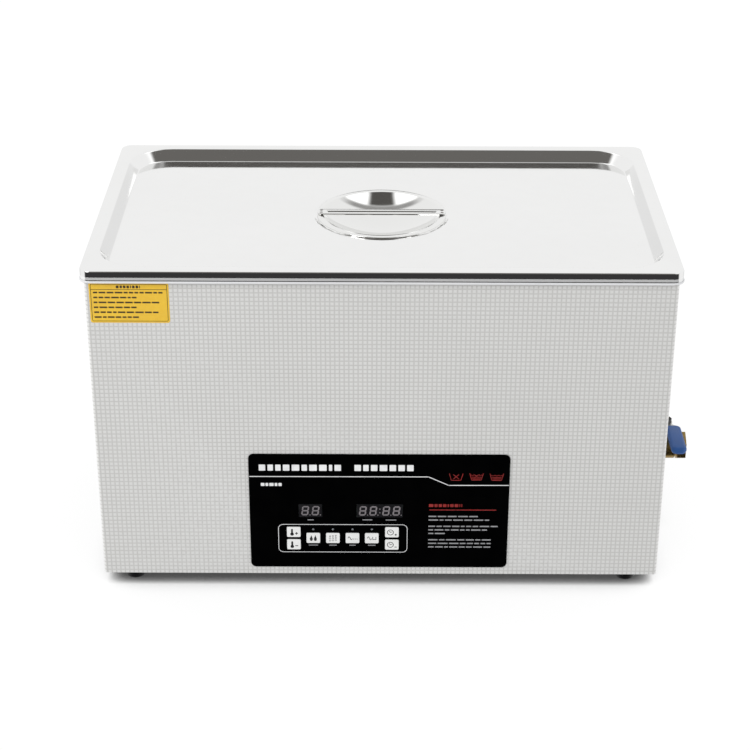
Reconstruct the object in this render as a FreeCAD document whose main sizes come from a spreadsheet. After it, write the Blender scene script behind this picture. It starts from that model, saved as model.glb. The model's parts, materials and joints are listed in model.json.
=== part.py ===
import FreeCAD, Part
import math
import os
import re
import Sketcher
from FreeCAD import Placement, Rotation, Vector

# A benchtop ultrasonic cleaner: a sheet-steel housing around a deep-drawn tank, a loose pan lid,
# a brass drain valve, ten bonded transducers, the electronics that drive them and a membrane panel.
# Frame: +Z up, front towards -Y, origin on the table under the middle of the housing. Millimetres.

SIZES = {
    # housing
    "body_length": 521.0,
    "body_width": 317.0,
    "body_height": 300.0,
    "foot_height": 13.0,
    "sheet": 1.2,
    "bend_radius": 3.0,
    "return_depth": 6.0,
    "seam_gap": 0.2,
    "base_sheet": 1.5,
    # fastenings and feet
    "screw_radius": 1.5,
    "screw_head_radius": 2.6,
    "screw_head_height": 1.8,
    "screw_length": 7.0,
    "screw_clearance": 0.2,
    "screw_inset": 3.6,
    "side_screw_pitch": 100.0,
    "foot_screw_length": 13.0,
    "foot_inset_x": 27.0,
    "foot_inset_y": 21.0,
    "foot_radius": 10.0,
    "foot_sole_radius": 9.4,
    "foot_recess_radius": 4.6,
    "foot_recess_depth": 7.0,
    # tank
    "flange_end_overhang": 4.5,
    "flange_side_overhang": 4.0,
    "flange_corner": 11.0,
    "flange_thickness": 2.0,
    "tank_end_gap": 10.5,
    "tank_side_gap": 8.5,
    "tank_wall": 1.0,
    "tank_corner": 25.0,
    "tank_floor_radius": 12.0,
    # lid
    "lid_height": 9.0,
    "lid_gap": 1.5,
    "lid_sheet": 1.0,
    "lid_rim": 13.0,
    "dish_depth": 10.0,
    "dish_run": 8.5,
    "dish_corner": 40.0,
    "lid_lip_clearance": 1.0,
    "seal_width": 6.0,
    "grip_ring_radius": 61.0,
    "grip_ring_width": 6.0,
    "grip_cup_depth": 19.0,
    "grip_bar_width": 12.0,
    "grip_bar_thickness": 2.5,
    "grip_bar_corner": 3.0,
    # control panel
    "overlay_length": 240.0,
    "overlay_height": 121.0,
    "overlay_corner": 5.0,
    "overlay_thickness": 1.0,
    "overlay_shift": -1.5,
    "overlay_rise": 8.0,
    "window_length": 130.0,
    "window_height": 58.0,
    "window_shift": -35.0,
    "window_rise": 20.0,
    "key_length": 12.7,
    "key_height": 10.9,
    "key_corner": 1.2,
    "key_proud": 0.5,
    "key_travel": 0.5,
    "key_gap": 0.2,
    "key_lip": 0.7,
    "key_lip_thickness": 0.8,
    "key_stem_radius": 2.0,
    "lamp_radius": 1.0,
    "lamp_clearance": 0.1,
    "lamp_rise": 49.1,
    "display_rise": 69.1,
    "display_height": 14.0,
    "display_gap": 0.3,
    "degree_display_length": 22.0,
    "degree_display_shift": -65.2,
    "minute_display_length": 43.0,
    "minute_display_shift": -0.9,
    "control_board_length": 148.0,
    "control_board_height": 72.0,
    "control_board_depth": 9.5,
    "board_sheet": 1.6,
    "switch_side": 6.0,
    "switch_height": 3.4,
    "board_screw_inset": 4.5,
    "spacer_radius": 3.0,
    # drain and valve
    "drain_x": 215.0,
    "valve_y": -12.0,
    "valve_rise": 59.0,
    "pipe_radius": 10.4,
    "pipe_bore_radius": 7.5,
    "pipe_socket_gap": 0.1,
    "drain_flange_radius": 17.0,
    "drain_flange_height": 3.0,
    "strainer_radius": 12.9,
    "strainer_sheet": 1.2,
    "strainer_hole_radius": 1.3,
    "strainer_ring_radius": 8.5,
    "drain_tail_end": 12.0,
    "elbow_radius": 13.5,
    "elbow_leg": 26.0,
    "elbow_socket_depth": 15.0,
    "locknut_flats": 30.0,
    "locknut_height": 6.0,
    "washer_thickness": 1.0,
    "washer_radius": 16.0,
    "valve_length": 42.0,
    "valve_flats": 26.0,
    "valve_hex_length": 11.0,
    "valve_wall": 2.9,
    "valve_body_end": 31.0,
    "valve_socket_depth": 9.5,
    "valve_bore_radius": 5.5,
    "chamber_gap": 1.6,
    "seat_bite": 1.0,
    "valve_ball_radius": 8.5,
    "valve_ball_gap": 0.05,
    "seat_length": 2.5,
    "outlet_neck_radius": 11.5,
    "outlet_hex_length": 8.5,
    "outlet_radius": 9.3,
    "outlet_depth": 10.0,
    "stem_radius": 3.5,
    "stem_gap": 0.05,
    "tang_length": 8.0,
    "tang_width": 2.6,
    "tang_gap": 0.1,
    "tang_start": 5.8,
    "boss_radius": 7.5,
    "boss_height": 16.0,
    "gland_flats": 14.0,
    "gland_height": 4.0,
    "lever_rise": 24.5,
    "lever_sheet": 2.0,
    "lever_width": 8.0,
    "lever_offset": 6.0,
    "lever_crank": 6.0,
    "lever_reach": 54.0,
    "lever_hub_radius": 7.0,
    "sleeve_length": 50.0,
    "sleeve_width": 15.0,
    "sleeve_thickness": 7.0,
    "sleeve_corner": 5.0,
    "sleeve_overhang": 6.5,
    "lever_nut_flats": 11.0,
    "lever_nut_height": 4.0,
    # transducers, heating and sensing
    "transducer_pitch_x": 85.0,
    "transducer_pitch_y": 150.0,
    "transducer_shift": -10.0,
    "horn_top_radius": 22.5,
    "horn_radius": 17.5,
    "horn_height": 22.0,
    "horn_thread_depth": 12.0,
    "piezo_thickness": 5.0,
    "piezo_bore_radius": 7.0,
    "back_mass_height": 20.0,
    "bolt_radius": 4.0,
    "bolt_gap": 0.1,
    "bolt_head_radius": 6.5,
    "bolt_head_height": 7.0,
    "heater_end_margin": 50.0,
    "heater_height": 120.0,
    "heater_thickness": 1.5,
    "heater_rise": 20.0,
    "sensor_radius": 3.0,
    "sensor_length": 25.0,
    "sensor_x": -222.0,
    "sensor_clip_width": 12.0,
    # ultrasonic generator
    "generator_length": 200.0,
    "generator_width": 110.0,
    "generator_x": -110.0,
    "generator_y": -10.0,
    "generator_rise": 12.0,
    "generator_screw_inset": 6.0,
    "heatsink_length": 120.0,
    "heatsink_width": 30.0,
    "heatsink_height": 22.0,
    "heatsink_base": 5.0,
    "fin_thickness": 2.0,
    "transformer_side": 34.0,
    "transformer_height": 20.0,
    "transformer_bobbin_radius": 12.0,
    "capacitor_radius": 9.0,
    "capacitor_height": 22.0,
    # fan
    "fan_x": -150.0,
    "fan_lift": 9.0,
    "fan_headroom": 13.0,
    "fan_side": 80.0,
    "fan_depth": 25.0,
    "fan_corner": 4.0,
    "fan_rim": 1.5,
    "fan_hub_radius": 17.0,
    "fan_tip_gap": 1.5,
    "fan_strut_width": 5.0,
    "fan_strut_depth": 3.0,
    "fan_pin_radius": 1.5,
    "fan_pin_gap": 0.05,
    "fan_running_gap": 1.0,
    "fan_rotor_depth": 18.0,
    "guard_wire_radius": 1.1,
    # mains inlet, fuse and switch
    "inlet_x": 150.0,
    "inlet_rise": 40.0,
    "inlet_length": 30.0,
    "inlet_height": 36.0,
    "inlet_depth": 24.0,
    "inlet_flange": 3.0,
    "inlet_rim": 5.0,
    "inlet_socket_length": 24.0,
    "inlet_socket_height": 16.5,
    "inlet_socket_depth": 17.0,
    "inlet_socket_rise": 5.5,
    "drawer_length": 20.0,
    "drawer_height": 7.0,
    "drawer_depth": 20.0,
    "drawer_gap": 0.2,
    "drawer_drop": 10.5,
    "switch_x": 205.0,
    "switch_frame_length": 22.0,
    "switch_frame_height": 28.0,
    "switch_frame_depth": 16.0,
    "switch_opening_length": 14.0,
    "rocker_half_height": 9.0,
    "rocker_proud": 3.0,
    "rocker_dip": 1.4,
    "rocker_depth": 4.0,
    "rocker_gap": 0.4,
    "rocker_tilt": 8.0,
    "rocker_pin_radius": 1.2,
    "rocker_pin_end": 1.5,
    # carry handles
    "lug_rise": 217.0,
    "lug_spread": 56.0,
    "lug_width": 8.0,
    "lug_height": 15.0,
    "lug_thickness": 14.5,
    "lug_plate_side": 30.0,
    "lug_plate_sheet": 2.0,
    "handle_offset": 9.5,
    "handle_rod_radius": 4.0,
    "handle_rod_gap": 0.05,
    "handle_pin_end": 61.5,
    "handle_arm_y": 45.0,
    "handle_drop": 45.0,
}

# Counts
TRANSDUCER_COLUMNS = 5
TRANSDUCER_ROWS = 2
FIN_COUNT = 10
FAN_BLADES = 7
VENT_SLOTS = 8
STRAINER_HOLES = 8

# Keys: name, distance from the panel's middle line, height above the housing's bottom edge
KEYS = (
    ("key_temperature_up", "-81.0", "46.3"),
    ("key_temperature_down", "-81.0", "32.8"),
    ("key_heat", "-62.8", "39.8"),
    ("key_degas", "-44.5", "39.8"),
    ("key_wave", "-26.2", "39.8"),
    ("key_power", "-8.2", "39.8"),
    ("key_time_up", "10.6", "46.3"),
    ("key_time_down", "10.6", "32.8"),
)
LAMP_COLUMNS = ("-62.8", "-44.5", "-26.2", "-8.2")

# Formulas that several pieces share
BODY_TOP = "foot_height + body_height"
FLANGE_TOP = "foot_height + body_height + flange_thickness"
LID_TOP = "foot_height + body_height + flange_thickness + lid_height"
FLANGE_LENGTH = "(body_length + 2 * flange_end_overhang)"
FLANGE_WIDTH = "(body_width + 2 * flange_side_overhang)"
TANK_LENGTH = "(body_length - 2 * tank_end_gap)"
TANK_WIDTH = "(body_width - 2 * tank_side_gap)"
TANK_DEPTH = "(body_height + flange_thickness - fan_lift - fan_side - fan_headroom)"
TANK_FLOOR = "foot_height + fan_lift + fan_side + fan_headroom"
TANK_UNDERSIDE = TANK_FLOOR + " - tank_wall"
FRONT_FACE = "-body_width / 2"
REAR_FACE = "body_width / 2"
RIGHT_FACE = "body_length / 2"
BASE_BOTTOM = "foot_height + sheet"
BASE_TOP = "foot_height + sheet + base_sheet"
VALVE_Z = "foot_height + valve_rise"
VALVE_START = "body_length / 2 + washer_thickness"
VALVE_MIDDLE = "body_length / 2 + washer_thickness + valve_length / 2"
CHAMBER_RADIUS = "(valve_ball_radius + chamber_gap)"
CHAMBER_START = "valve_length / 2 - valve_ball_radius + seat_bite"
CHAMBER_END = "valve_length / 2 + valve_ball_radius - seat_bite"
BOARD_FACE = "-body_width / 2 + control_board_depth"
GENERATOR_Z = "foot_height + sheet + base_sheet + generator_rise"
PIEZO_BOTTOM = TANK_UNDERSIDE + " - horn_height - 2 * piezo_thickness"
FAN_BORE = "(fan_side / 2 - fan_rim)"
FAN_Z = "foot_height + fan_side / 2 + fan_lift"

FUNCTIONS = {"sqrt", "cos", "sin", "deg"}
WORD = re.compile(r"[a-z][a-z_]+")
TURNS = {
    "flat": Rotation(),
    "Z": Rotation(),
    "X": Rotation(Vector(0, 1, 0), 90),
    "Y": Rotation(Vector(1, 0, 0), -90),
    "front": Rotation(Vector(1, 0, 0), 90),
    "rear": Rotation(Vector(1, 0, 0), -90),
}

DOC = FreeCAD.newDocument("ultrasonic_cleaner")
SHEET = DOC.addObject("Spreadsheet::Sheet", "sizes")
NODES = []


def fill_sheet():
    for row, (alias, value) in enumerate(SIZES.items(), start=1):
        SHEET.set(f"A{row}", alias)
        SHEET.set(f"B{row}", str(value))
        SHEET.setAlias(f"B{row}", alias)
    DOC.recompute()


# ---- binding sizes and places to the sheet ------------------------------------------------------


def formula(text):
    def qualify(match):
        word = match.group(0)
        return word if word in FUNCTIONS else "sizes." + word

    return WORD.sub(qualify, text)


def bind(item, **formulas):
    for name, text in formulas.items():
        item.setExpression(name, formula(text))


def put(item, at, turn="flat"):
    item.Placement = Placement(Vector(), TURNS[turn])
    for axis, text in zip("xyz", at):
        item.setExpression(f"Placement.Base.{axis}", formula(text))
    return item


# ---- plain solids -------------------------------------------------------------------------------


def block(name, size, at):
    """A box centred on x and y, rising from z."""
    item = DOC.addObject("Part::Box", name)
    length, width, height = size
    bind(item, Length=length, Width=width, Height=height)
    x, y, z = at
    return put(item, (f"{x} - ({length}) / 2", f"{y} - ({width}) / 2", z))


def rod(name, radius, length, at, along="Z"):
    item = DOC.addObject("Part::Cylinder", name)
    bind(item, Radius=radius, Height=length)
    return put(item, at, along)


def cone(name, low_radius, high_radius, height, at):
    item = DOC.addObject("Part::Cone", name)
    bind(item, Radius1=low_radius, Radius2=high_radius, Height=height)
    return put(item, at)


def ball(name, radius, at):
    item = DOC.addObject("Part::Sphere", name)
    bind(item, Radius=radius)
    return put(item, at)


def hoop(name, radius, wire, at, along="Z"):
    item = DOC.addObject("Part::Torus", name)
    bind(item, Radius1=radius, Radius2=wire)
    return put(item, at, along)


def hexagon(name, flats, height, at, along="Z"):
    item = DOC.addObject("Part::Prism", name)
    item.Polygon = 6
    bind(item, Circumradius=f"{flats} / sqrt(3)", Height=height)
    return put(item, at, along)


# ---- joining and cutting ------------------------------------------------------------------------


def fuse(name, *items):
    item = DOC.addObject("Part::MultiFuse", name)
    item.Shapes = list(items)
    return item


def cut(name, base, *tools):
    item = DOC.addObject("Part::Cut", name)
    item.Base = base
    item.Tool = tools[0] if len(tools) == 1 else fuse(name + "_tools", *tools)
    return item


def common(name, first, second):
    item = DOC.addObject("Part::Common", name)
    item.Base = first
    item.Tool = second
    return item


def group(name, *items):
    item = DOC.addObject("Part::Compound", name)
    item.Links = list(items)
    return item


def node(item, label):
    """Marks a finished sub-part: its label is the name of its file."""
    item.Label = label
    NODES.append(item)
    return item


# ---- sketched solids ----------------------------------------------------------------------------


def new_body(name):
    return DOC.addObject("PartDesign::Body", name)


def new_sketch(body, name, role="XY_Plane"):
    sketch = body.newObject("Sketcher::SketchObject", name)
    plane = next(item for item in body.Origin.OriginFeatures if item.Role == role)
    sketch.AttachmentSupport = [(plane, "")]
    sketch.MapMode = "FlatFace"
    return sketch


def bound_constraint(sketch, constraint, text):
    index = sketch.addConstraint(constraint)
    sketch.setExpression(f"Constraints[{index}]", formula(text))


def draw_rounded_rectangle(sketch, width, depth, corner):
    """Four lines and four tangent arcs about the sketch's origin."""
    half_x, half_y, radius = 50.0, 40.0, 1.0
    in_x, in_y = half_x - radius, half_y - radius
    lines = (
        (Vector(-in_x, -half_y), Vector(in_x, -half_y)),
        (Vector(half_x, -in_y), Vector(half_x, in_y)),
        (Vector(in_x, half_y), Vector(-in_x, half_y)),
        (Vector(-half_x, in_y), Vector(-half_x, -in_y)),
    )
    centres = (Vector(in_x, -in_y), Vector(in_x, in_y), Vector(-in_x, in_y), Vector(-in_x, -in_y))
    for side in range(4):
        start = math.radians(90 * side - 90)
        circle = Part.Circle(centres[side], Vector(0, 0, 1), radius)
        sketch.addGeometry(Part.LineSegment(*lines[side]))
        sketch.addGeometry(Part.ArcOfCircle(circle, start, start + math.pi / 2))
    for side in range(4):
        line, arc = 2 * side, 2 * side + 1
        sketch.addConstraint(Sketcher.Constraint("Tangent", line, 2, arc, 1))
        sketch.addConstraint(Sketcher.Constraint("Tangent", arc, 2, (arc + 1) % 8, 1))
        sketch.addConstraint(Sketcher.Constraint("Horizontal" if side % 2 == 0 else "Vertical", line))
    for arc in (3, 5, 7):
        sketch.addConstraint(Sketcher.Constraint("Equal", 1, arc))
    sketch.addConstraint(Sketcher.Constraint("Symmetric", 0, 1, 4, 1, -1, 1))
    bound_constraint(sketch, Sketcher.Constraint("Radius", 1, radius), corner)
    bound_constraint(sketch, Sketcher.Constraint("DistanceX", 6, 1, 2, 1, 2 * half_x), width)
    bound_constraint(sketch, Sketcher.Constraint("DistanceY", 0, 1, 4, 1, 2 * half_y), depth)


def draw_outline(sketch, points):
    """A closed outline of straight lines whose corners are bound to the sheet."""
    count = len(points)
    turns = [2 * math.pi * index / count for index in range(count)]
    start = [Vector(20 + 10 * math.cos(turn), 10 * math.sin(turn)) for turn in turns]
    for index in range(count):
        sketch.addGeometry(Part.LineSegment(start[index], start[(index + 1) % count]))
    for index in range(count):
        sketch.addConstraint(Sketcher.Constraint("Coincident", index, 2, (index + 1) % count, 1))
    for index, (across, along) in enumerate(points):
        x_constraint = Sketcher.Constraint("DistanceX", -1, 1, index, 1, start[index].x)
        y_constraint = Sketcher.Constraint("DistanceY", -1, 1, index, 1, start[index].y)
        bound_constraint(sketch, x_constraint, across)
        bound_constraint(sketch, y_constraint, along)


def pad_from(body, sketch, name, length):
    pad = body.newObject("PartDesign::Pad", name)
    pad.Profile = sketch
    bind(pad, Length=length)
    return pad


def plate(name, width, depth, corner, thickness, at, turn="flat"):
    """A rounded rectangular plate, centred, standing up from its place along its own normal."""
    body = new_body(name)
    sketch = new_sketch(body, name + "_outline")
    draw_rounded_rectangle(sketch, width, depth, corner)
    pad_from(body, sketch, name + "_pad", thickness)
    return put(body, at, turn)


def drawn_tub(name, length, width, corner, height, floor_radius, at):
    """A tub's outside as a solid: a rounded block whose bottom edges are rounded too."""
    body = new_body(name)
    sketch = new_sketch(body, name + "_outline")
    draw_rounded_rectangle(sketch, length, width, corner)
    pad = pad_from(body, sketch, name + "_pad", height)
    DOC.recompute()
    floor_edges = [
        f"Edge{index}"
        for index, edge in enumerate(pad.Shape.Edges, start=1)
        if abs(edge.BoundBox.ZMax) < 1e-6
    ]
    fillet = body.newObject("PartDesign::Fillet", name + "_floor")
    fillet.Base = (pad, floor_edges)
    bind(fillet, Radius=floor_radius)
    return put(body, at)


def tapered_pan(name, low, high, height, at):
    """A loft between two rounded rectangles, each given as width, depth and corner."""
    body = new_body(name)
    sketches = []
    for place, (width, depth, corner) in (("low", low), ("high", high)):
        sketch = new_sketch(body, f"{name}_{place}")
        draw_rounded_rectangle(sketch, width, depth, corner)
        sketches.append(sketch)
    sketches[1].setExpression("AttachmentOffset.Base.z", formula(height))
    DOC.recompute()
    loft = body.newObject("PartDesign::AdditiveLoft", name + "_loft")
    loft.Profile = sketches[0]
    loft.Sections = [(sketches[1], [""])]
    loft.Ruled = True
    return put(body, at)


def turned(name, points, at, along="Z"):
    """A solid of revolution from (radius, height) corners."""
    body = new_body(name)
    sketch = new_sketch(body, name + "_profile", "XZ_Plane")
    draw_outline(sketch, points)
    revolution = body.newObject("PartDesign::Revolution", name + "_turn")
    revolution.Profile = sketch
    revolution.ReferenceAxis = (sketch, ["V_Axis"])
    revolution.Angle = 360
    return put(body, at, along)


def cut_out(name, points, thickness, at, turn="flat"):
    """A plate with a straight-sided outline."""
    body = new_body(name)
    sketch = new_sketch(body, name + "_outline")
    draw_outline(sketch, points)
    pad_from(body, sketch, name + "_pad", thickness)
    return put(body, at, turn)


# ---- housing ------------------------------------------------------------------------------------


def housing_shell():
    outside = plate(
        "housing_outside", "body_length", "body_width", "bend_radius", "body_height",
        ("0", "0", "foot_height"),
    )
    inside = plate(
        "housing_inside", "body_length - 2 * sheet", "body_width - 2 * sheet",
        "bend_radius - sheet", "body_height - 2 * sheet", ("0", "0", BASE_BOTTOM),
    )
    return cut("housing_shell", outside, inside)


def long_panel_strip(name, side):
    """The slice of the shell that becomes the front or rear panel with its narrow returns."""
    return block(
        name, ("body_length", "return_depth", "body_height"),
        ("0", f"{side} * (body_width - return_depth) / 2", "foot_height"),
    )


def side_panel_strip(name, side):
    return block(
        name, ("return_depth", "body_width - 2 * return_depth - 2 * seam_gap", "body_height"),
        (f"{side} * (body_length - return_depth) / 2", "0", "foot_height"),
    )


def front_panel(shell):
    tray = common("front_tray", shell, long_panel_strip("front_strip", -1))
    window = block(
        "control_window", ("window_length", "2 * return_depth", "window_height"),
        ("window_shift", FRONT_FACE, "foot_height + window_rise"),
    )
    node(cut("front_cut", tray, window), "front_panel")


def rear_panel(shell):
    tray = common("rear_tray", shell, long_panel_strip("rear_strip", 1))
    deep = "4 * sheet"
    tools = [
        rod("fan_opening", FAN_BORE, deep, ("fan_x", REAR_FACE + " - 2 * sheet", FAN_Z), "Y"),
        block("inlet_opening", ("inlet_length", deep, "inlet_height"),
              ("inlet_x", REAR_FACE, "foot_height + inlet_rise - inlet_height / 2")),
        block("switch_opening", ("switch_frame_length", deep, "switch_frame_height"),
              ("switch_x", REAR_FACE, "foot_height + inlet_rise - switch_frame_height / 2")),
    ]
    for slot in range(VENT_SLOTS):
        place = f"({slot} - {VENT_SLOTS - 1} / 2) * 14"
        tools.append(block(f"rear_vent_{slot}", ("4", deep, "45"), (place, REAR_FACE, "foot_height + 25")))
    tools += [screw_hole(*screw) for screw in rear_screws()]
    node(cut("rear_cut", tray, *tools), "rear_panel")


def side_panel(shell, label, side, *tools):
    tray = common(label + "_tray", shell, side_panel_strip(label + "_strip", side))
    holes = [screw_hole(*screw) for screw in side_screws(label, side)]
    node(cut(label + "_cut", tray, *holes, *tools), label)


def rear_screws():
    across = ("-0.4", "-0.13", "0.13", "0.4")
    line = "body_width / 2 - screw_inset"
    return [(f"rear_screw_{index}", f"{share} * body_length", line) for index, share in enumerate(across)]


def side_screws(label, side):
    line = f"{side} * (body_length / 2 - screw_inset)"
    return [(f"{label}_screw_{step}", line, f"{step - 1} * side_screw_pitch") for step in range(3)]


def foot_places():
    for index, (side_x, side_y) in enumerate(((-1, -1), (1, -1), (-1, 1), (1, 1))):
        x = f"{side_x} * (body_length / 2 - foot_inset_x)"
        y = f"{side_y} * (body_width / 2 - foot_inset_y)"
        yield f"foot_{index}", x, y


def screw_hole(name, x, y):
    return rod(name + "_hole", "screw_radius + screw_clearance", "20", (x, y, "foot_height - 5"))


def screw(name, x, y, seat, length):
    """A pan-head screw driven upwards: its head hangs below the seat."""
    shank = rod(name + "_shank", "screw_radius", length, (x, y, seat))
    under = (x, y, seat + " - screw_head_height")
    head = rod(name + "_head", "screw_head_radius", "screw_head_height", under)
    return fuse(name, shank, head)


def housing_screws():
    seats = rear_screws() + side_screws("left_panel", -1) + side_screws("right_panel", 1)
    screws = [screw(name, x, y, "foot_height", "screw_length") for name, x, y in seats]
    screws += [
        screw(name + "_screw", x, y, "foot_recess_depth", "foot_screw_length")
        for name, x, y in foot_places()
    ]
    node(group("housing_screws", *screws), "housing_screws")


def base_plate():
    sheet_metal = plate(
        "base_sheet_metal", "body_length - 2 * sheet - 2 * seam_gap",
        "body_width - 2 * sheet - 2 * seam_gap", "bend_radius - sheet", "base_sheet",
        ("0", "0", BASE_BOTTOM),
    )
    places = rear_screws() + side_screws("base_left", -1) + side_screws("base_right", 1)
    tools = [screw_hole(name + "_base", x, y) for name, x, y in places + list(foot_places())]
    for side in (-1, 1):
        for slot in range(VENT_SLOTS):
            x = f"{side} * 110 + ({slot} - {VENT_SLOTS - 1} / 2) * 14"
            place = (x, "90", BASE_BOTTOM + " - 4")
            tools.append(block(f"base_vent_{side + 1}_{slot}", ("5", "60", "10"), place))
    node(cut("base_cut", sheet_metal, *tools), "base_plate")


def rubber_feet():
    profile = (
        ("screw_radius + screw_clearance", "foot_recess_depth"),
        ("foot_recess_radius", "foot_recess_depth"),
        ("foot_recess_radius", "0"),
        ("foot_sole_radius", "0"),
        ("foot_radius", "foot_radius - foot_sole_radius"),
        ("foot_radius", BASE_BOTTOM),
        ("screw_radius + screw_clearance", BASE_BOTTOM),
    )
    feet = [turned(name, profile, (x, y, "0")) for name, x, y in foot_places()]
    node(group("feet_group", *feet), "rubber_feet")


def housing():
    shell = housing_shell()
    front_panel(shell)
    rear_panel(shell)
    drain_hole = rod(
        "drain_panel_hole", "pipe_radius + 2 * pipe_socket_gap", "3 * return_depth",
        (RIGHT_FACE + " - 2 * return_depth", "valve_y", VALVE_Z), "X",
    )
    side_panel(shell, "left_panel", -1)
    side_panel(shell, "right_panel", 1, drain_hole)
    base_plate()
    rubber_feet()
    housing_screws()


# ---- tank ---------------------------------------------------------------------------------------


def tank():
    flange = plate(
        "tank_flange", FLANGE_LENGTH, FLANGE_WIDTH, "flange_corner", "flange_thickness",
        ("0", "0", BODY_TOP),
    )
    outside = drawn_tub(
        "tank_outside", TANK_LENGTH + " + 2 * tank_wall", TANK_WIDTH + " + 2 * tank_wall",
        "tank_corner + tank_wall", TANK_DEPTH + " + tank_wall", "tank_floor_radius + tank_wall",
        ("0", "0", TANK_UNDERSIDE),
    )
    inside = drawn_tub(
        "tank_inside", TANK_LENGTH, TANK_WIDTH, "tank_corner", TANK_DEPTH + " + 5",
        "tank_floor_radius", ("0", "0", TANK_FLOOR),
    )
    drain = rod("tank_drain_hole", "pipe_radius + 2 * pipe_socket_gap", "20",
                ("drain_x", "valve_y", TANK_UNDERSIDE + " - 10"))
    node(cut("tank_cut", fuse("tank_metal", flange, outside), inside, drain), "tank")


# ---- lid ----------------------------------------------------------------------------------------


def dish(name, spread, drop):
    """The pressed pan of the lid: the air above it, or its metal when spread and lowered a little."""
    length = f"{FLANGE_LENGTH} - 2 * lid_rim + 2 * {spread}"
    width = f"{FLANGE_WIDTH} - 2 * lid_rim + 2 * {spread}"
    corner = f"dish_corner + {spread}"
    high = (length, width, corner)
    low = (f"{length} - 2 * dish_run", f"{width} - 2 * dish_run", f"{corner} - dish_run")
    return tapered_pan(name, low, high, "dish_depth", ("0", "0", f"{LID_TOP} - dish_depth - {drop}"))


def lid_panel():
    outside = plate(
        "lid_outside", FLANGE_LENGTH, FLANGE_WIDTH, "flange_corner", "lid_height - lid_gap",
        ("0", "0", FLANGE_TOP + " + lid_gap"),
    )
    underside = plate(
        "lid_underside", FLANGE_LENGTH + " - 2 * lid_sheet", FLANGE_WIDTH + " - 2 * lid_sheet",
        "flange_corner - lid_sheet", "lid_height - lid_gap - lid_sheet",
        ("0", "0", FLANGE_TOP + " + lid_gap"),
    )
    rim = cut("lid_rim_shell", outside, underside)
    pan = fuse("lid_pressing", rim, dish("dish_metal", "lid_sheet", "lid_sheet"))
    hole = rod("grip_hole", "grip_ring_radius - grip_ring_width / 2", "dish_depth",
               ("0", "0", f"{LID_TOP} - 1.5 * dish_depth"))
    node(cut("lid_cut", pan, dish("dish_air", "0", "0"), hole), "lid_panel")


def lid_seal():
    strip_height = "lid_height - lid_sheet"
    spread = " - 2 * lid_rim + 2 * (lid_sheet + lid_lip_clearance) + 2 * seal_width"
    outer_length = FLANGE_LENGTH + spread
    outer_width = FLANGE_WIDTH + spread
    outside = plate("seal_outside", outer_length, outer_width, "flange_corner", strip_height,
                    ("0", "0", FLANGE_TOP))
    inside = plate("seal_inside", outer_length + " - 2 * seal_width", outer_width + " - 2 * seal_width",
                   "flange_corner - seal_width", strip_height, ("0", "0", FLANGE_TOP))
    node(cut("seal_cut", outside, inside), "lid_seal")


def lid_grip():
    """A pressed finger cup with a flat bar across it, on the floor of the lid's pan."""
    seat = f"{LID_TOP} - dish_depth"
    ring_top = f"{LID_TOP} - dish_depth + lid_sheet"
    mouth = "(grip_ring_radius - grip_ring_width)"
    curve = f"({mouth} * {mouth} + grip_cup_depth * grip_cup_depth) / (2 * grip_cup_depth)"
    centre = ("0", "0", f"{ring_top} - grip_cup_depth + {curve}")
    below = rod("cup_limit", mouth + " + 2 * lid_sheet", "grip_cup_depth + 2 * lid_sheet",
                ("0", "0", f"{ring_top} - grip_cup_depth - 2 * lid_sheet"))
    cap = common("cup_cap", ball("cup_outside", f"{curve} + lid_sheet", centre), below)
    ring = rod("cup_ring", "grip_ring_radius", "lid_sheet", ("0", "0", seat))
    cup = cut("cup_cut", fuse("cup_metal", cap, ring), ball("cup_inside", curve, centre))
    node(cup, "lid_handle_cup")
    bar = plate("grip_bar", "2 * grip_ring_radius - 1", "grip_bar_width", "grip_bar_corner",
                "grip_bar_thickness", ("0", "0", ring_top))
    node(bar, "lid_handle_bar")


def lid():
    lid_panel()
    lid_seal()
    lid_grip()


# ---- control panel ------------------------------------------------------------------------------


def panel_point(shift, rise, depth):
    """A place on the front, from the middle line and the housing's bottom edge, depth mm inwards."""
    return shift, f"{FRONT_FACE} + {depth}", f"foot_height + {rise}"


def display_cutter(name, length, shift):
    return plate(
        name, length + " + 2 * display_gap", "display_height + 2 * display_gap", "0.5",
        "3 * overlay_thickness", panel_point(shift, "display_rise", "overlay_thickness"), "front",
    )


def control_overlay():
    membrane = plate(
        "overlay_sheet", "overlay_length", "overlay_height", "overlay_corner", "overlay_thickness",
        panel_point("overlay_shift", "overlay_rise + overlay_height / 2", "0"), "front",
    )
    tools = [
        display_cutter("degree_window", "degree_display_length", "degree_display_shift"),
        display_cutter("minute_window", "minute_display_length", "minute_display_shift"),
    ]
    for name, shift, rise in KEYS:
        tools.append(plate(
            name + "_window", "key_length + 2 * key_gap", "key_height + 2 * key_gap",
            "key_corner + key_gap", "3 * overlay_thickness",
            panel_point(shift, rise, "overlay_thickness"), "front",
        ))
    for index, shift in enumerate(LAMP_COLUMNS):
        x, y, z = panel_point(shift, "lamp_rise", "-2 * overlay_thickness")
        tools.append(rod(f"lamp_hole_{index}", "lamp_radius + lamp_clearance",
                         "4 * overlay_thickness", (x, y, z), "Y"))
    node(cut("overlay_cut", membrane, *tools), "control_overlay")


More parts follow.
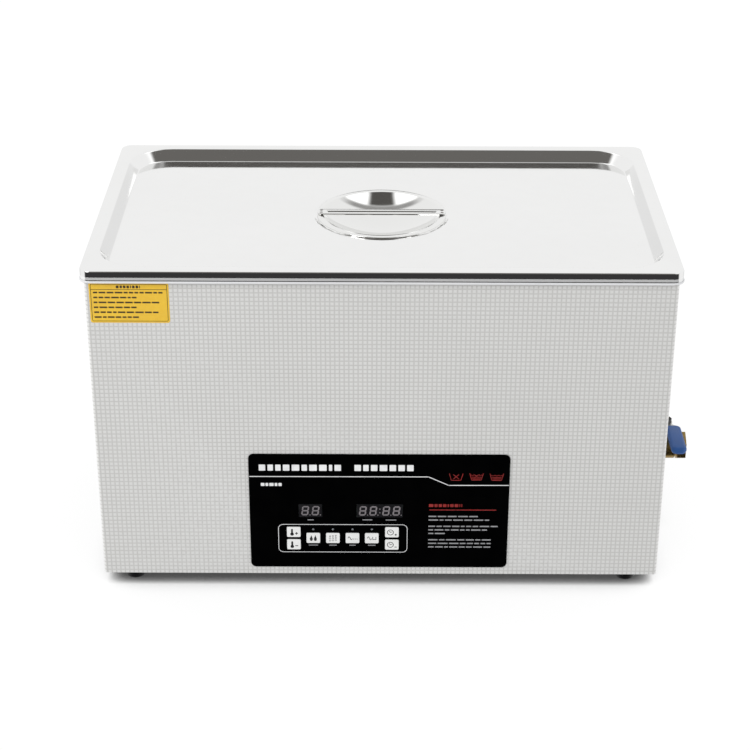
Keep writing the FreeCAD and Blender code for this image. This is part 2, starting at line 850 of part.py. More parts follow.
def control_key(name, shift, rise):
    """A printed key cap, the lip that keeps it in and the stem that presses its switch."""
    lip_front = "key_travel / 5"
    lip_back = f"{lip_front} + key_lip_thickness"
    cap = plate(name + "_cap", "key_length", "key_height", "key_corner",
                f"overlay_thickness + key_proud + {lip_back}", panel_point(shift, rise, lip_back), "front")
    lip = plate(name + "_lip", "key_length + 2 * key_lip", "key_height + 2 * key_lip",
                "key_corner + key_lip", "key_lip_thickness", panel_point(shift, rise, lip_back), "front")
    x, y, z = panel_point(shift, rise, lip_back)
    reach = f"control_board_depth - switch_height - 1.2 * key_travel - ({lip_back})"
    stem = rod(name + "_stem", "key_stem_radius", reach, (x, y, z), "Y")
    node(fuse(name + "_solid", cap, lip, stem), name)


def tact_switches():
    switches = []
    for name, shift, rise in KEYS:
        place = (shift, f"{BOARD_FACE} - switch_height / 2", f"foot_height + {rise} - switch_side / 2")
        switches.append(block(name + "_switch", ("switch_side", "switch_height", "switch_side"), place))
    node(group("switch_group", *switches), "tact_switches")


def status_lamps():
    lamps = []
    for index, shift in enumerate(LAMP_COLUMNS):
        place = panel_point(shift, "lamp_rise", "-overlay_thickness")
        lamps.append(rod(f"lamp_{index}", "lamp_radius",
                         "control_board_depth + overlay_thickness", place, "Y"))
    node(group("lamp_group", *lamps), "status_lamps")


def display_modules():
    depth = "control_board_depth + overlay_thickness - display_gap"
    modules = []
    for name in ("degree", "minute"):
        x, y, z = panel_point(f"{name}_display_shift", "display_rise - display_height / 2",
                              f"control_board_depth - ({depth}) / 2")
        size = (f"{name}_display_length", depth, "display_height")
        modules.append(block(f"{name}_module", size, (x, y, z)))
    node(group("display_group", *modules), "display_modules")


def control_board():
    board = block(
        "control_board_sheet", ("control_board_length", "board_sheet", "control_board_height"),
        ("window_shift", f"{BOARD_FACE} + board_sheet / 2",
         "foot_height + window_rise + (window_height - control_board_height) / 2"),
    )
    node(board, "control_board")


def control_spacers():
    spacers = []
    for index, (side_x, side_z) in enumerate(((-1, -1), (1, -1), (-1, 1), (1, 1))):
        x = f"window_shift + {side_x} * (control_board_length / 2 - board_screw_inset)"
        z = f"window_rise + window_height / 2 + {side_z} * (control_board_height / 2 - spacer_radius)"
        spacers.append(rod(f"control_spacer_{index}", "spacer_radius", "control_board_depth - sheet",
                           panel_point(x, z, "sheet"), "Y"))
    return spacers


def control_panel():
    control_overlay()
    for name, shift, rise in KEYS:
        control_key(name, shift, rise)
    tact_switches()
    status_lamps()
    display_modules()
    control_board()


# ---- drain --------------------------------------------------------------------------------------


def drain_fitting():
    """A flanged tail through the tank's floor, with a seat for the strainer in its top."""
    floor = "drain_flange_height + tank_wall"
    top = floor
    seat = f"{top} - strainer_sheet"
    profile = (
        ("pipe_bore_radius", f"-({TANK_UNDERSIDE} - ({VALVE_Z}) - drain_tail_end)"),
        ("pipe_radius", f"-({TANK_UNDERSIDE} - ({VALVE_Z}) - drain_tail_end)"),
        ("pipe_radius", "tank_wall"),
        ("drain_flange_radius", "tank_wall"),
        ("drain_flange_radius", top),
        ("strainer_radius + pipe_socket_gap", top),
        ("strainer_radius + pipe_socket_gap", seat),
        ("pipe_bore_radius", seat),
    )
    node(turned("drain_fitting_turned", profile, ("drain_x", "valve_y", TANK_UNDERSIDE)), "drain_fitting")


def drain_strainer():
    base = rod("strainer_disc", "strainer_radius", "strainer_sheet",
               ("drain_x", "valve_y", f"{TANK_FLOOR} + drain_flange_height - strainer_sheet"))
    holes = []
    for index in range(STRAINER_HOLES):
        turn = f"{360 / STRAINER_HOLES * index} deg"
        x = f"drain_x + strainer_ring_radius * cos({turn})"
        y = f"valve_y + strainer_ring_radius * sin({turn})"
        holes.append(rod(f"strainer_hole_{index}", "strainer_hole_radius", "10", (x, y, f"{TANK_FLOOR} - 2")))
    holes.append(rod("strainer_hole_middle", "2 * strainer_hole_radius", "10",
                     ("drain_x", "valve_y", f"{TANK_FLOOR} - 2")))
    node(cut("strainer_cut", base, *holes), "drain_strainer")


def drain_elbow():
    corner = ("drain_x", "valve_y", VALVE_Z)
    socket = "pipe_radius + pipe_socket_gap"
    metal = fuse(
        "elbow_metal",
        rod("elbow_riser", "elbow_radius", "elbow_leg", corner),
        rod("elbow_run", "elbow_radius", "elbow_leg", corner, "X"),
        ball("elbow_corner", "elbow_radius", corner),
    )
    tools = [
        rod("riser_bore", "pipe_bore_radius", "elbow_leg + 1", corner),
        rod("run_bore", "pipe_bore_radius", "elbow_leg + 1", corner, "X"),
        ball("corner_bore", "pipe_bore_radius", corner),
        rod("riser_socket", socket, "elbow_socket_depth",
            ("drain_x", "valve_y", f"{VALVE_Z} + elbow_leg - elbow_socket_depth + 0.01")),
        rod("run_socket", socket, "elbow_socket_depth",
            ("drain_x + elbow_leg - elbow_socket_depth + 0.01", "valve_y", VALVE_Z), "X"),
    ]
    node(cut("elbow_cut", metal, *tools), "drain_elbow")


def drain_pipe():
    start = "drain_x + elbow_leg - elbow_socket_depth + 1"
    length = f"{VALVE_START} + valve_socket_depth - ({start}) - pipe_socket_gap"
    outside = rod("pipe_outside", "pipe_radius", length, (start, "valve_y", VALVE_Z), "X")
    inside = rod("pipe_inside", "pipe_bore_radius", length, (start, "valve_y", VALVE_Z), "X")
    node(cut("pipe_cut", outside, inside), "drain_pipe")


def drain_locknuts():
    bore = "pipe_radius + pipe_socket_gap"
    tank_place = ("drain_x", "valve_y", f"{TANK_UNDERSIDE} - locknut_height")
    tank_nut = cut("tank_nut", hexagon("tank_nut_hex", "locknut_flats", "locknut_height", tank_place),
                   rod("tank_nut_bore", bore, "locknut_height", tank_place))
    panel_place = (f"{RIGHT_FACE} - sheet - locknut_height", "valve_y", VALVE_Z)
    panel_hex = hexagon("panel_nut_hex", "locknut_flats", "locknut_height", panel_place, "X")
    panel_nut = cut("panel_nut", panel_hex,
                    rod("panel_nut_bore", bore, "locknut_height", panel_place, "X"))
    washer_place = (RIGHT_FACE, "valve_y", VALVE_Z)
    washer = cut("panel_washer", rod("washer_disc", "washer_radius", "washer_thickness", washer_place, "X"),
                 rod("washer_bore", bore, "washer_thickness", washer_place, "X"))
    node(group("locknut_group", tank_nut, panel_nut, washer), "drain_locknuts")


def along_valve(offset):
    """A place on the valve's axis, offset mm from its inlet end."""
    return f"{VALVE_START} + {offset}", "valve_y", VALVE_Z


def valve_bore(name, radius, start, end):
    return rod(name, radius, f"({end}) - ({start})", along_valve(start), "X")


def valve_body():
    above = ("valve_y", VALVE_Z)
    boss = rod("valve_boss", "boss_radius", "boss_height", (VALVE_MIDDLE, *above))
    metal = fuse(
        "valve_metal",
        hexagon("valve_hex", "valve_flats", "valve_hex_length", along_valve("0"), "X"),
        valve_bore("valve_round", CHAMBER_RADIUS + " + valve_wall", "valve_hex_length", "valve_body_end"),
        boss,
    )
    tools = [
        valve_bore("valve_socket", "pipe_radius + pipe_socket_gap", "-0.01", "valve_socket_depth"),
        valve_bore("valve_way", "valve_bore_radius", "valve_socket_depth - 0.01", "valve_body_end"),
        valve_bore("valve_chamber", CHAMBER_RADIUS, CHAMBER_START, "valve_body_end + 0.01"),
        rod("stem_bore", "stem_radius + stem_gap", "boss_height + 1", (VALVE_MIDDLE, *above)),
    ]
    node(cut("valve_cut", metal, *tools), "valve_body")


def valve_end():
    """The screwed-in outlet half that holds the ball and its seats in."""
    hex_start = "valve_length - outlet_hex_length"
    metal = fuse(
        "outlet_metal",
        valve_bore("outlet_spigot_rod", CHAMBER_RADIUS + " - stem_gap", CHAMBER_END, "valve_body_end"),
        valve_bore("outlet_neck", "outlet_neck_radius", "valve_body_end", hex_start + " + 1"),
        hexagon("outlet_hex", "valve_flats", "outlet_hex_length", along_valve(hex_start), "X"),
    )
    tools = [
        valve_bore("outlet_way", "valve_bore_radius", CHAMBER_END + " - 1", "valve_length - 1"),
        valve_bore("outlet_mouth", "outlet_radius", "valve_length - outlet_depth", "valve_length + 0.01"),
    ]
    node(cut("outlet_cut", metal, *tools), "valve_end")


def valve_seats():
    pocket = ball("seat_pocket", "valve_ball_radius + valve_ball_gap", along_valve("valve_length / 2"))
    seats = []
    for name, start in (("inlet", CHAMBER_START), ("outlet", CHAMBER_END + " - seat_length")):
        end = f"{start} + seat_length"
        washer = valve_bore(f"{name}_seat_disc", CHAMBER_RADIUS + " - stem_gap", start, end)
        way = valve_bore(f"{name}_seat_way", "valve_bore_radius", start, end)
        seats.append(cut(f"{name}_seat", washer, way, pocket))
    node(group("seat_group", *seats), "valve_seats")


def valve_ball_and_stem():
    middle = (VALVE_MIDDLE, "valve_y", VALVE_Z)
    sphere = ball("valve_sphere", "valve_ball_radius", middle)
    bore = rod("ball_bore", "valve_bore_radius", "2 * valve_ball_radius + 2",
               (VALVE_MIDDLE, "valve_y - valve_ball_radius - 1", VALVE_Z), "Y")
    slot_size = ("tang_length + 2 * tang_gap", "tang_width + 2 * tang_gap", "valve_ball_radius")
    slot = block("ball_slot", slot_size,
                 (VALVE_MIDDLE, "valve_y", f"{VALVE_Z} + tang_start - tang_gap"))
    node(cut("ball_cut", sphere, bore, slot), "valve_ball")
    shoulder = "valve_ball_radius + 0.3"
    stem_top = "lever_rise + lever_sheet + lever_nut_height + 1"
    tang_height = f"{shoulder} - tang_start"
    tang = common(
        "tang_round",
        block("tang_block", ("tang_length", "tang_width", tang_height),
              (VALVE_MIDDLE, "valve_y", f"{VALVE_Z} + tang_start")),
        rod("tang_limit", "stem_radius", tang_height, (VALVE_MIDDLE, "valve_y", f"{VALVE_Z} + tang_start")),
    )
    shaft = rod("stem_shaft", "stem_radius", f"{stem_top} - ({shoulder})",
                (VALVE_MIDDLE, "valve_y", f"{VALVE_Z} + {shoulder}"))
    node(fuse("stem_solid", tang, shaft), "valve_stem")


def ring_nut(name, shape, bore, height, z):
    return cut(name, shape, rod(name + "_bore", bore, height, (VALVE_MIDDLE, "valve_y", z)))


def gland_nut():
    z = f"{VALVE_Z} + boss_height"
    shape = hexagon("gland_hex", "gland_flats", "gland_height", (VALVE_MIDDLE, "valve_y", z))
    node(ring_nut("gland_cut", shape, "stem_radius + stem_gap", "gland_height", z), "valve_gland_nut")


def valve_lever():
    z = f"{VALVE_Z} + lever_rise"
    stem = (VALVE_MIDDLE, "valve_y", z)
    half = "lever_width / 2"
    outline = (
        (f"-{half}", "0"),
        (f"-{half}", "-lever_crank"),
        (f"lever_offset - {half}", "-lever_crank - lever_offset"),
        (f"lever_offset - {half}", "-lever_reach"),
        (f"lever_offset + {half}", "-lever_reach"),
        (f"lever_offset + {half}", "-lever_crank - lever_offset / 2"),
        (half, "-lever_crank / 2"),
        (half, "0"),
    )
    arm = cut_out("lever_arm", outline, "lever_sheet", stem)
    hub = rod("lever_hub", "lever_hub_radius", "lever_sheet", stem)
    bore = rod("lever_bore", "stem_radius", "lever_sheet", stem)
    node(cut("lever_cut", fuse("lever_metal", arm, hub), bore), "valve_lever")
    sleeve = plate(
        "sleeve_block", "sleeve_width", "sleeve_length", "sleeve_corner", "sleeve_thickness",
        (f"{VALVE_MIDDLE} + lever_offset", "valve_y - lever_reach - sleeve_overhang + sleeve_length / 2",
         f"{z} + lever_sheet / 2 - sleeve_thickness / 2"),
    )
    node(cut("sleeve_cut", sleeve, arm), "lever_sleeve")
    nut_z = f"{z} + lever_sheet"
    on_stem = (VALVE_MIDDLE, "valve_y", nut_z)
    shape = hexagon("lever_nut_hex", "lever_nut_flats", "lever_nut_height", on_stem)
    node(ring_nut("lever_nut_cut", shape, "stem_radius", "lever_nut_height", nut_z), "lever_nut")


def drain():
    drain_fitting()
    drain_strainer()
    drain_elbow()
    drain_pipe()
    drain_locknuts()
    valve_body()
    valve_end()
    valve_seats()
    valve_ball_and_stem()
    gland_nut()
    valve_lever()


# ---- transducers, heating and sensing -----------------------------------------------------------


def transducer_places():
    for column in range(TRANSDUCER_COLUMNS):
        for row in range(TRANSDUCER_ROWS):
            x = f"transducer_shift + ({column} - {TRANSDUCER_COLUMNS - 1} / 2) * transducer_pitch_x"
            y = f"({row} - {TRANSDUCER_ROWS - 1} / 2) * transducer_pitch_y"
            yield f"{column}_{row}", x, y


def transducers():
    """Bolt-clamped stacks bonded under the tank: horn, two piezo rings, back mass and bolt."""
    horns, rings, backs, bolts = [], [], [], []
    horn_z = TANK_UNDERSIDE + " - horn_height"
    back_z = PIEZO_BOTTOM + " - back_mass_height"
    for key, x, y in transducer_places():
        thread = rod(f"horn_thread_{key}", "bolt_radius + bolt_gap", "horn_thread_depth", (x, y, horn_z))
        horn = cone(f"horn_cone_{key}", "horn_radius", "horn_top_radius", "horn_height", (x, y, horn_z))
        horns.append(cut(f"horn_{key}", horn, thread))
        for layer in range(2):
            z = f"{PIEZO_BOTTOM} + {layer} * piezo_thickness"
            disc = rod(f"piezo_disc_{key}_{layer}", "horn_radius", "piezo_thickness", (x, y, z))
            bore = rod(f"piezo_bore_{key}_{layer}", "piezo_bore_radius", "piezo_thickness", (x, y, z))
            rings.append(cut(f"piezo_{key}_{layer}", disc, bore))
        mass = rod(f"back_mass_{key}", "horn_radius", "back_mass_height", (x, y, back_z))
        hole = rod(f"back_hole_{key}", "bolt_radius + bolt_gap", "back_mass_height", (x, y, back_z))
        backs.append(cut(f"back_{key}", mass, hole))
        shank_length = "back_mass_height + 2 * piezo_thickness + horn_thread_depth - 1"
        shank = rod(f"bolt_shank_{key}", "bolt_radius", shank_length, (x, y, back_z))
        head = rod(f"bolt_head_{key}", "bolt_head_radius", "bolt_head_height",
                   (x, y, back_z + " - bolt_head_height"))
        bolts.append(fuse(f"bolt_{key}", shank, head))
    node(group("horn_group", *horns), "transducer_horns")
    node(group("piezo_group", *rings), "piezo_rings")
    node(group("back_group", *backs), "transducer_back_masses")
    node(group("bolt_group", *bolts), "transducer_bolts")


def heater_pads():
    pads = []
    for name, side in (("front", -1), ("rear", 1)):
        y = f"{side} * ({TANK_WIDTH} / 2 + tank_wall + heater_thickness / 2)"
        length = TANK_LENGTH + " - 2 * heater_end_margin"
        pads.append(block(f"{name}_heater", (length, "heater_thickness", "heater_height"),
                          ("0", y, f"{TANK_FLOOR} + heater_rise")))
    node(group("heater_group", *pads), "heater_pads")


def temperature_sensor():
    z = f"{TANK_UNDERSIDE} - sensor_radius - 0.5"
    probe = rod("sensor_probe", "sensor_radius", "sensor_length",
                ("sensor_x - sensor_length / 2", "0", z), "X")
    clip = block("sensor_clip", ("sensor_clip_width", "3 * sensor_radius", "sensor_radius + 0.5"),
                 ("sensor_x", "0", z))
    node(fuse("sensor_solid", probe, clip), "temperature_sensor")


# ---- ultrasonic generator -----------------------------------------------------------------------


def generator_place(x, y, z="board_sheet"):
    return f"generator_x + {x}", f"generator_y + {y}", f"{GENERATOR_Z} + {z}"


def generator():
    board = block("generator_sheet", ("generator_length", "generator_width", "board_sheet"),
                  generator_place("0", "0", "0"))
    node(board, "generator_board")
    base = block("heatsink_block", ("heatsink_length", "heatsink_width", "heatsink_base"),
                 generator_place("0", "30"))
    fins = []
    for index in range(FIN_COUNT):
        x = f"({index} / {FIN_COUNT - 1} - 0.5) * (heatsink_length - fin_thickness)"
        fins.append(block(f"fin_{index}", ("fin_thickness", "heatsink_width", "heatsink_height"),
                          generator_place(x, "30")))
    node(fuse("heatsink_solid", base, *fins), "generator_heatsink")
    cores, caps = [], []
    for index, x in enumerate(("-45", "5")):
        place = generator_place(x, "-25")
        core = block(f"core_{index}", ("transformer_side", "transformer_side", "transformer_height"), place)
        window = block(f"core_window_{index}",
                       ("0.7 * transformer_side", "transformer_side", "0.55 * transformer_height"),
                       generator_place(x, "-25", "board_sheet + 0.22 * transformer_height"))
        bobbin = rod(f"bobbin_{index}", "transformer_bobbin_radius - 1", "0.55 * transformer_height",
                     generator_place(x, "-25", "board_sheet + 0.22 * transformer_height"))
        cores.append(fuse(f"transformer_{index}", cut(f"core_cut_{index}", core, window), bobbin))
        caps.append(rod(f"capacitor_{index}", "capacitor_radius", "capacitor_height",
                        generator_place(f"48 + 22 * {index}", "-25")))
    node(group("transformer_group", *cores), "output_transformers")
    node(group("capacitor_group", *caps), "board_capacitors")


def board_spacers():
    posts = control_spacers()
    for index, (side_x, side_y) in enumerate(((-1, -1), (1, -1), (-1, 1), (1, 1))):
        x = f"generator_x + {side_x} * (generator_length / 2 - generator_screw_inset)"
        y = f"generator_y + {side_y} * (generator_width / 2 - generator_screw_inset)"
        posts.append(rod(f"generator_spacer_{index}", "spacer_radius", "generator_rise", (x, y, BASE_TOP)))
    node(group("spacer_group", *posts), "board_spacers")


# ---- fan ----------------------------------------------------------------------------------------


def fan_place(inwards):
    """A place on the fan's axis, some way in from the rear panel's inner face."""
    return "fan_x", f"{REAR_FACE} - sheet - ({inwards})", FAN_Z


def fan_frame():
    body = plate("fan_block", "fan_side", "fan_side", "fan_corner", "fan_depth",
                 fan_place("fan_depth"), "rear")
    bore = rod("fan_bore", FAN_BORE, "fan_depth", fan_place("fan_depth"), "Y")
    x, y, z = fan_place("fan_depth - fan_strut_depth / 2")
    level = block("fan_strut_level", ("fan_side - 2", "fan_strut_depth", "fan_strut_width"),
                  (x, y, z + " - fan_strut_width / 2"))
    upright = block("fan_strut_upright", ("fan_strut_width", "fan_strut_depth", "fan_side - 2"),
                    (x, y, z + " - fan_side / 2 + 1"))
    disc = rod("fan_motor_disc", "fan_hub_radius", "fan_strut_depth", fan_place("fan_depth"), "Y")
    pin = rod("fan_pin", "fan_pin_radius", "fan_depth - fan_strut_depth - fan_running_gap",
              fan_place("fan_depth"), "Y")
    node(fuse("fan_frame_solid", cut("fan_frame_cut", body, bore), level, upright, disc, pin), "fan_frame")


def fan_rotor():
    """Hub and tilted blades, as one moulding patterned about the spindle."""
    body = new_body("fan_rotor_body")
    hub_sketch = new_sketch(body, "fan_hub_circle")
    hub_sketch.addGeometry(Part.Circle(Vector(), Vector(0, 0, 1), 10))
    hub_sketch.addConstraint(Sketcher.Constraint("Coincident", 0, 3, -1, 1))
    bound_constraint(hub_sketch, Sketcher.Constraint("Radius", 0, 10), "fan_hub_radius")
    pad_from(body, hub_sketch, "fan_hub", "fan_rotor_depth")
    blade_sketch = new_sketch(body, "fan_blade_section", "XZ_Plane")
    draw_outline(blade_sketch, (
        ("-8", "0.5"),
        ("-6", "0.5"),
        ("8", "fan_rotor_depth - 0.5"),
        ("6", "fan_rotor_depth - 0.5"),
    ))
    blade = pad_from(body, blade_sketch, "fan_blade", FAN_BORE + " - fan_tip_gap - 1")
    DOC.recompute()
    pattern = body.newObject("PartDesign::PolarPattern", "fan_blades")
    pattern.Originals = [blade]
    pattern.Axis = (hub_sketch, ["N_Axis"])
    pattern.Angle = 360
    pattern.Occurrences = FAN_BLADES
    body.Tip = pattern
    put(body, fan_place("fan_depth - fan_strut_depth - fan_running_gap"), "Y")
    bore = rod("fan_spindle_bore", "fan_pin_radius + fan_pin_gap", "fan_rotor_depth + 2",
               fan_place("fan_depth - fan_strut_depth - fan_running_gap + 1"), "Y")
    node(cut("fan_rotor_cut", body, bore), "fan_rotor")


def fan_guard():
    wire_y = f"{REAR_FACE} + guard_wire_radius"
    centre = ("fan_x", wire_y, FAN_Z)
    hoops = [
        hoop(f"guard_hoop_{index}", f"{FAN_BORE} * {share}", "guard_wire_radius", centre, "Y")
        for index, share in enumerate((0.25, 0.5, 0.75, 1.0))
    ]
    reach = f"({FAN_BORE} + 6)"
    level = rod("guard_bar_level", "guard_wire_radius", f"2 * {reach}",
                (f"fan_x - {reach}", wire_y, FAN_Z), "X")
    upright = rod("guard_bar_upright", "guard_wire_radius", f"2 * {reach}",
                  ("fan_x", wire_y, f"{FAN_Z} - {reach}"))
    node(fuse("guard_solid", *hoops, level, upright), "fan_guard")


def fan():
    fan_frame()
    fan_rotor()
    fan_guard()


# ---- mains inlet, fuse drawer and switch --------------------------------------------------------


def rear_block(name, length, depth, height, x, rise, out="0"):
    """A box behind the rear face, or standing out of it by out."""
    y = f"{REAR_FACE} + {out} - ({depth}) / 2"
    return block(name, (length, depth, height), (x, y, f"foot_height + {rise} - ({height}) / 2"))


def power_inlet():
    inner_length = "inlet_length - 2 * seam_gap"
    inner_height = "inlet_height - 2 * seam_gap"
    core = rear_block("inlet_core", inner_length, "inlet_depth", inner_height, "inlet_x", "inlet_rise")
    flange = rear_block("inlet_rim_block", "inlet_length + 2 * inlet_rim", "inlet_flange",
                        "inlet_height + 2 * inlet_rim", "inlet_x", "inlet_rise", "inlet_flange")
    socket = rear_block("inlet_socket", "inlet_socket_length", "inlet_socket_depth + inlet_flange",
                        "inlet_socket_height", "inlet_x", "inlet_rise + inlet_socket_rise", "inlet_flange")
    slot = rear_block("drawer_slot", "drawer_length + 2 * drawer_gap", "drawer_depth + inlet_flange",
                      "drawer_height + 2 * drawer_gap", "inlet_x", "inlet_rise - drawer_drop", "inlet_flange")
    node(cut("inlet_cut", fuse("inlet_solid", core, flange), socket, slot), "power_inlet")
    drawer = rear_block("drawer_tray", "drawer_length", "drawer_depth + inlet_flange - drawer_gap",
                        "drawer_height", "inlet_x", "inlet_rise - drawer_drop", "inlet_flange")
    well = rear_block("drawer_well", "drawer_length - 4", "drawer_depth - 6", "drawer_height - 3",
                      "inlet_x", "inlet_rise - drawer_drop + 2", "-2")
    node(cut("drawer_cut", drawer, well), "fuse_drawer")


def power_switch():
    core = rear_block("switch_core", "switch_frame_length - 2 * seam_gap", "switch_frame_depth",
                      "switch_frame_height - 2 * seam_gap", "switch_x", "inlet_rise")
    rim = rear_block("switch_rim", "switch_frame_length + 4", "2", "switch_frame_height + 4",
                     "switch_x", "inlet_rise", "2")
    reach = "sqrt(rocker_half_height * rocker_half_height + rocker_proud * rocker_proud) + rocker_gap"
    well_depth = f"2 + {reach}"
    well = rear_block("switch_well", "switch_opening_length + 2 * rocker_gap", well_depth,
                      f"2 * ({reach})", "switch_x", "inlet_rise", "2")
    pin_length = "switch_opening_length + 2 * rocker_gap + 2 * rocker_pin_end"
    pin_start = (f"switch_x - ({pin_length}) / 2", REAR_FACE, "foot_height + inlet_rise")
    pin_hole = rod("rocker_pin_hole", "rocker_pin_radius + stem_gap", pin_length, pin_start, "X")
    node(cut("switch_cut", fuse("switch_solid", core, rim), well, pin_hole), "switch_frame")
    top = ("rocker_half_height", "rocker_proud")
    outline = (
        (f"-{top[0]}", top[1]),
        (f"-{top[0]}", "0"),
        (f"-{top[0]} / 2", "-rocker_depth"),
        (f"{top[0]} / 2", "-rocker_depth"),
        (top[0], "0"),
        top,
        ("0", "rocker_dip"),
    )
    body = new_body("rocker_body")
    sketch = new_sketch(body, "rocker_outline", "YZ_Plane")
    draw_outline(sketch, [(z, y) for z, y in outline])
    pad = pad_from(body, sketch, "rocker_pad", "switch_opening_length")
    pad.Midplane = True
    put(body, ("switch_x", REAR_FACE, "foot_height + inlet_rise"), "rear")
    body.Placement.Rotation = Rotation(Vector(1, 0, 0), -SIZES["rocker_tilt"]).multiply(TURNS["rear"])
    pin = rod("rocker_pin", "rocker_pin_radius", f"{pin_length} - 2 * stem_gap",
              (f"switch_x - ({pin_length}) / 2 + stem_gap", REAR_FACE, "foot_height + inlet_rise"), "X")
    node(fuse("rocker_solid", body, pin), "rocker_switch")


# ---- carry handles ------------------------------------------------------------------------------


def handle_lugs():
    lugs = []
    for side_name, side in (("left", -1), ("right", 1)):
        for end_name, end in (("front", -1), ("rear", 1)):
            name = f"{side_name}_{end_name}_lug"
            y = f"{end} * lug_spread"
            base = f"foot_height + lug_rise - lug_height / 2"
            ear = block(name + "_ear", ("lug_thickness", "lug_width", "lug_height"),
                        (f"{side} * (body_length + lug_thickness) / 2", y, base))
            foot = block(name + "_plate", ("lug_plate_sheet", "lug_plate_side / 2", "lug_plate_side"),
                         (f"{side} * (body_length + lug_plate_sheet) / 2", y,
                          "foot_height + lug_rise - lug_plate_side / 2"))
            hole = rod(name + "_hole", "handle_rod_radius + handle_rod_gap", "2 * lug_width",
                       (f"{side} * (body_length / 2 + handle_offset)", f"{y} - lug_width",
                        "foot_height + lug_rise"), "Y")
            lugs.append(cut(name, fuse(name + "_metal", ear, foot), hole))
    node(group("lug_group", *lugs), "carry_handle_lugs")


def carry_handle(label, side):
    """A drop handle bent from one rod: two pins in the lugs, two arms and a grip bar."""
    x = f"{side} * (body_length / 2 + handle_offset)"
    pivot_z = "foot_height + lug_rise"
    grip_z = "foot_height + lug_rise - handle_drop"
    pieces = []
    for end_name, end in (("front", -1), ("rear", 1)):
        pin_start = "-handle_pin_end" if end < 0 else "handle_arm_y"
        y = f"{end} * handle_arm_y"
        pieces += [
            rod(f"{label}_{end_name}_pin", "handle_rod_radius", "handle_pin_end - handle_arm_y",
                (x, pin_start, pivot_z), "Y"),
            rod(f"{label}_{end_name}_arm", "handle_rod_radius", "handle_drop", (x, y, grip_z)),
            ball(f"{label}_{end_name}_top", "handle_rod_radius", (x, y, pivot_z)),
            ball(f"{label}_{end_name}_bend", "handle_rod_radius", (x, y, grip_z)),
        ]
    grip = rod(label + "_grip", "handle_rod_radius", "2 * handle_arm_y", (x, "-handle_arm_y", grip_z), "Y")
    node(fuse(label + "_rod", grip, *pieces), label)


# ---- writing ------------------------------------------------------------------------------------


def check_document():
    for item in DOC.Objects:
        if "Invalid" in item.State or "Error" in item.State:
            raise RuntimeError(f"{item.Name} ({item.Label}) failed: {item.State}")
    for item in NODES:
        if item.Shape.isNull() or not item.Shape.isValid() or not item.Shape.Solids:
            raise RuntimeError(f"{item.Label} has no valid solid")


def write_parts():
    os.makedirs("parts", exist_ok=True)
    for item in NODES:
        item.Shape.exportStep(f"parts/{item.Label}.step")
    print(f"{len(NODES)} parts written")


fill_sheet()
housing()
tank()
lid()
control_panel()
drain()
transducers()
heater_pads()
temperature_sensor()
generator()
board_spacers()
fan()
power_inlet()
power_switch()
handle_lugs()
carry_handle("left_handle", -1)
carry_handle("right_handle", 1)
DOC.recompute()
check_document()
write_parts()
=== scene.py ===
import json
import math
import random

import bmesh
import bpy
from mathutils import Matrix, Vector


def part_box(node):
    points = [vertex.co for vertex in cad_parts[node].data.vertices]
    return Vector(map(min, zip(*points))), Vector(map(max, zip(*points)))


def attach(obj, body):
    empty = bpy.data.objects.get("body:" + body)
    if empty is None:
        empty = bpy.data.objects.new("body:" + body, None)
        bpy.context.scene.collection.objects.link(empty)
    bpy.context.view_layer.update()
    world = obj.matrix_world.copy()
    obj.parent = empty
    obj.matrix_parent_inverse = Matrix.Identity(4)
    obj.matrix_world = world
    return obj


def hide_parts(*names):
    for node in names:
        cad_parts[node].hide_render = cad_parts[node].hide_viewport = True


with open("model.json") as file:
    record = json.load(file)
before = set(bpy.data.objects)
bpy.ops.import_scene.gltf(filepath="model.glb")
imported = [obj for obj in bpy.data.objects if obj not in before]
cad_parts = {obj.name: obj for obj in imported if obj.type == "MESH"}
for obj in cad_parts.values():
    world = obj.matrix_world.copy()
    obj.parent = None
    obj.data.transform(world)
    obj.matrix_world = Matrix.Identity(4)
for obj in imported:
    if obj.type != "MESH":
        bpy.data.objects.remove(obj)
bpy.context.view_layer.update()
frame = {"nodes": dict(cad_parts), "record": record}

# A benchtop ultrasonic cleaner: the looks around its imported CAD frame.
# Shapes are made in millimetres in the frame's axes (+Z up, front towards -Y) and become metres in piece().

MM = 0.001
SCENE = bpy.context.scene
BODY_OF = {node: body for body, nodes in frame["record"]["behaviour"]["bodies"].items() for node in nodes}

INK = 0.06            # how far a printed mark stands off the surface under it
BITE = 0.02           # how far such a mark reaches into that surface
MERGE = 1e-4          # points closer than this, in millimetres, become one
CAD_MERGE = 2e-6      # the same for a CAD node's loose triangles, in metres
GRID_PITCH = 0.00415  # embossed squares of the housing sheet, in metres
SOFT = 0.0003         # how softly a painted highlight band ends, in metres
LONGER = 0.1025       # how much further the lid reaches along x than along y, in metres
SKIRT_REACH = 0.151   # painted highlight bands lie further out than this along y, in metres
HEM_HIGHLIGHT_BAND = (0.3160, 0.3182, 0.5)     # painted highlight bands, on the lid's hem and below on the tank's flange: lowest and highest point in metres, how metallic
FLANGE_HIGHLIGHT_BAND = (0.3125, 0.3160, 0.0)


def spun(degrees, axis="Z"):
    return Matrix.Rotation(math.radians(degrees), 4, axis)


PANEL_FRONT = spun(90, "X")
PANEL_REAR = spun(180) @ PANEL_FRONT


# ---- shapes ----


def box_of(node):
    """Lowest and highest corners of a CAD node, in millimetres."""
    low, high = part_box(node)
    return low / MM, high / MM


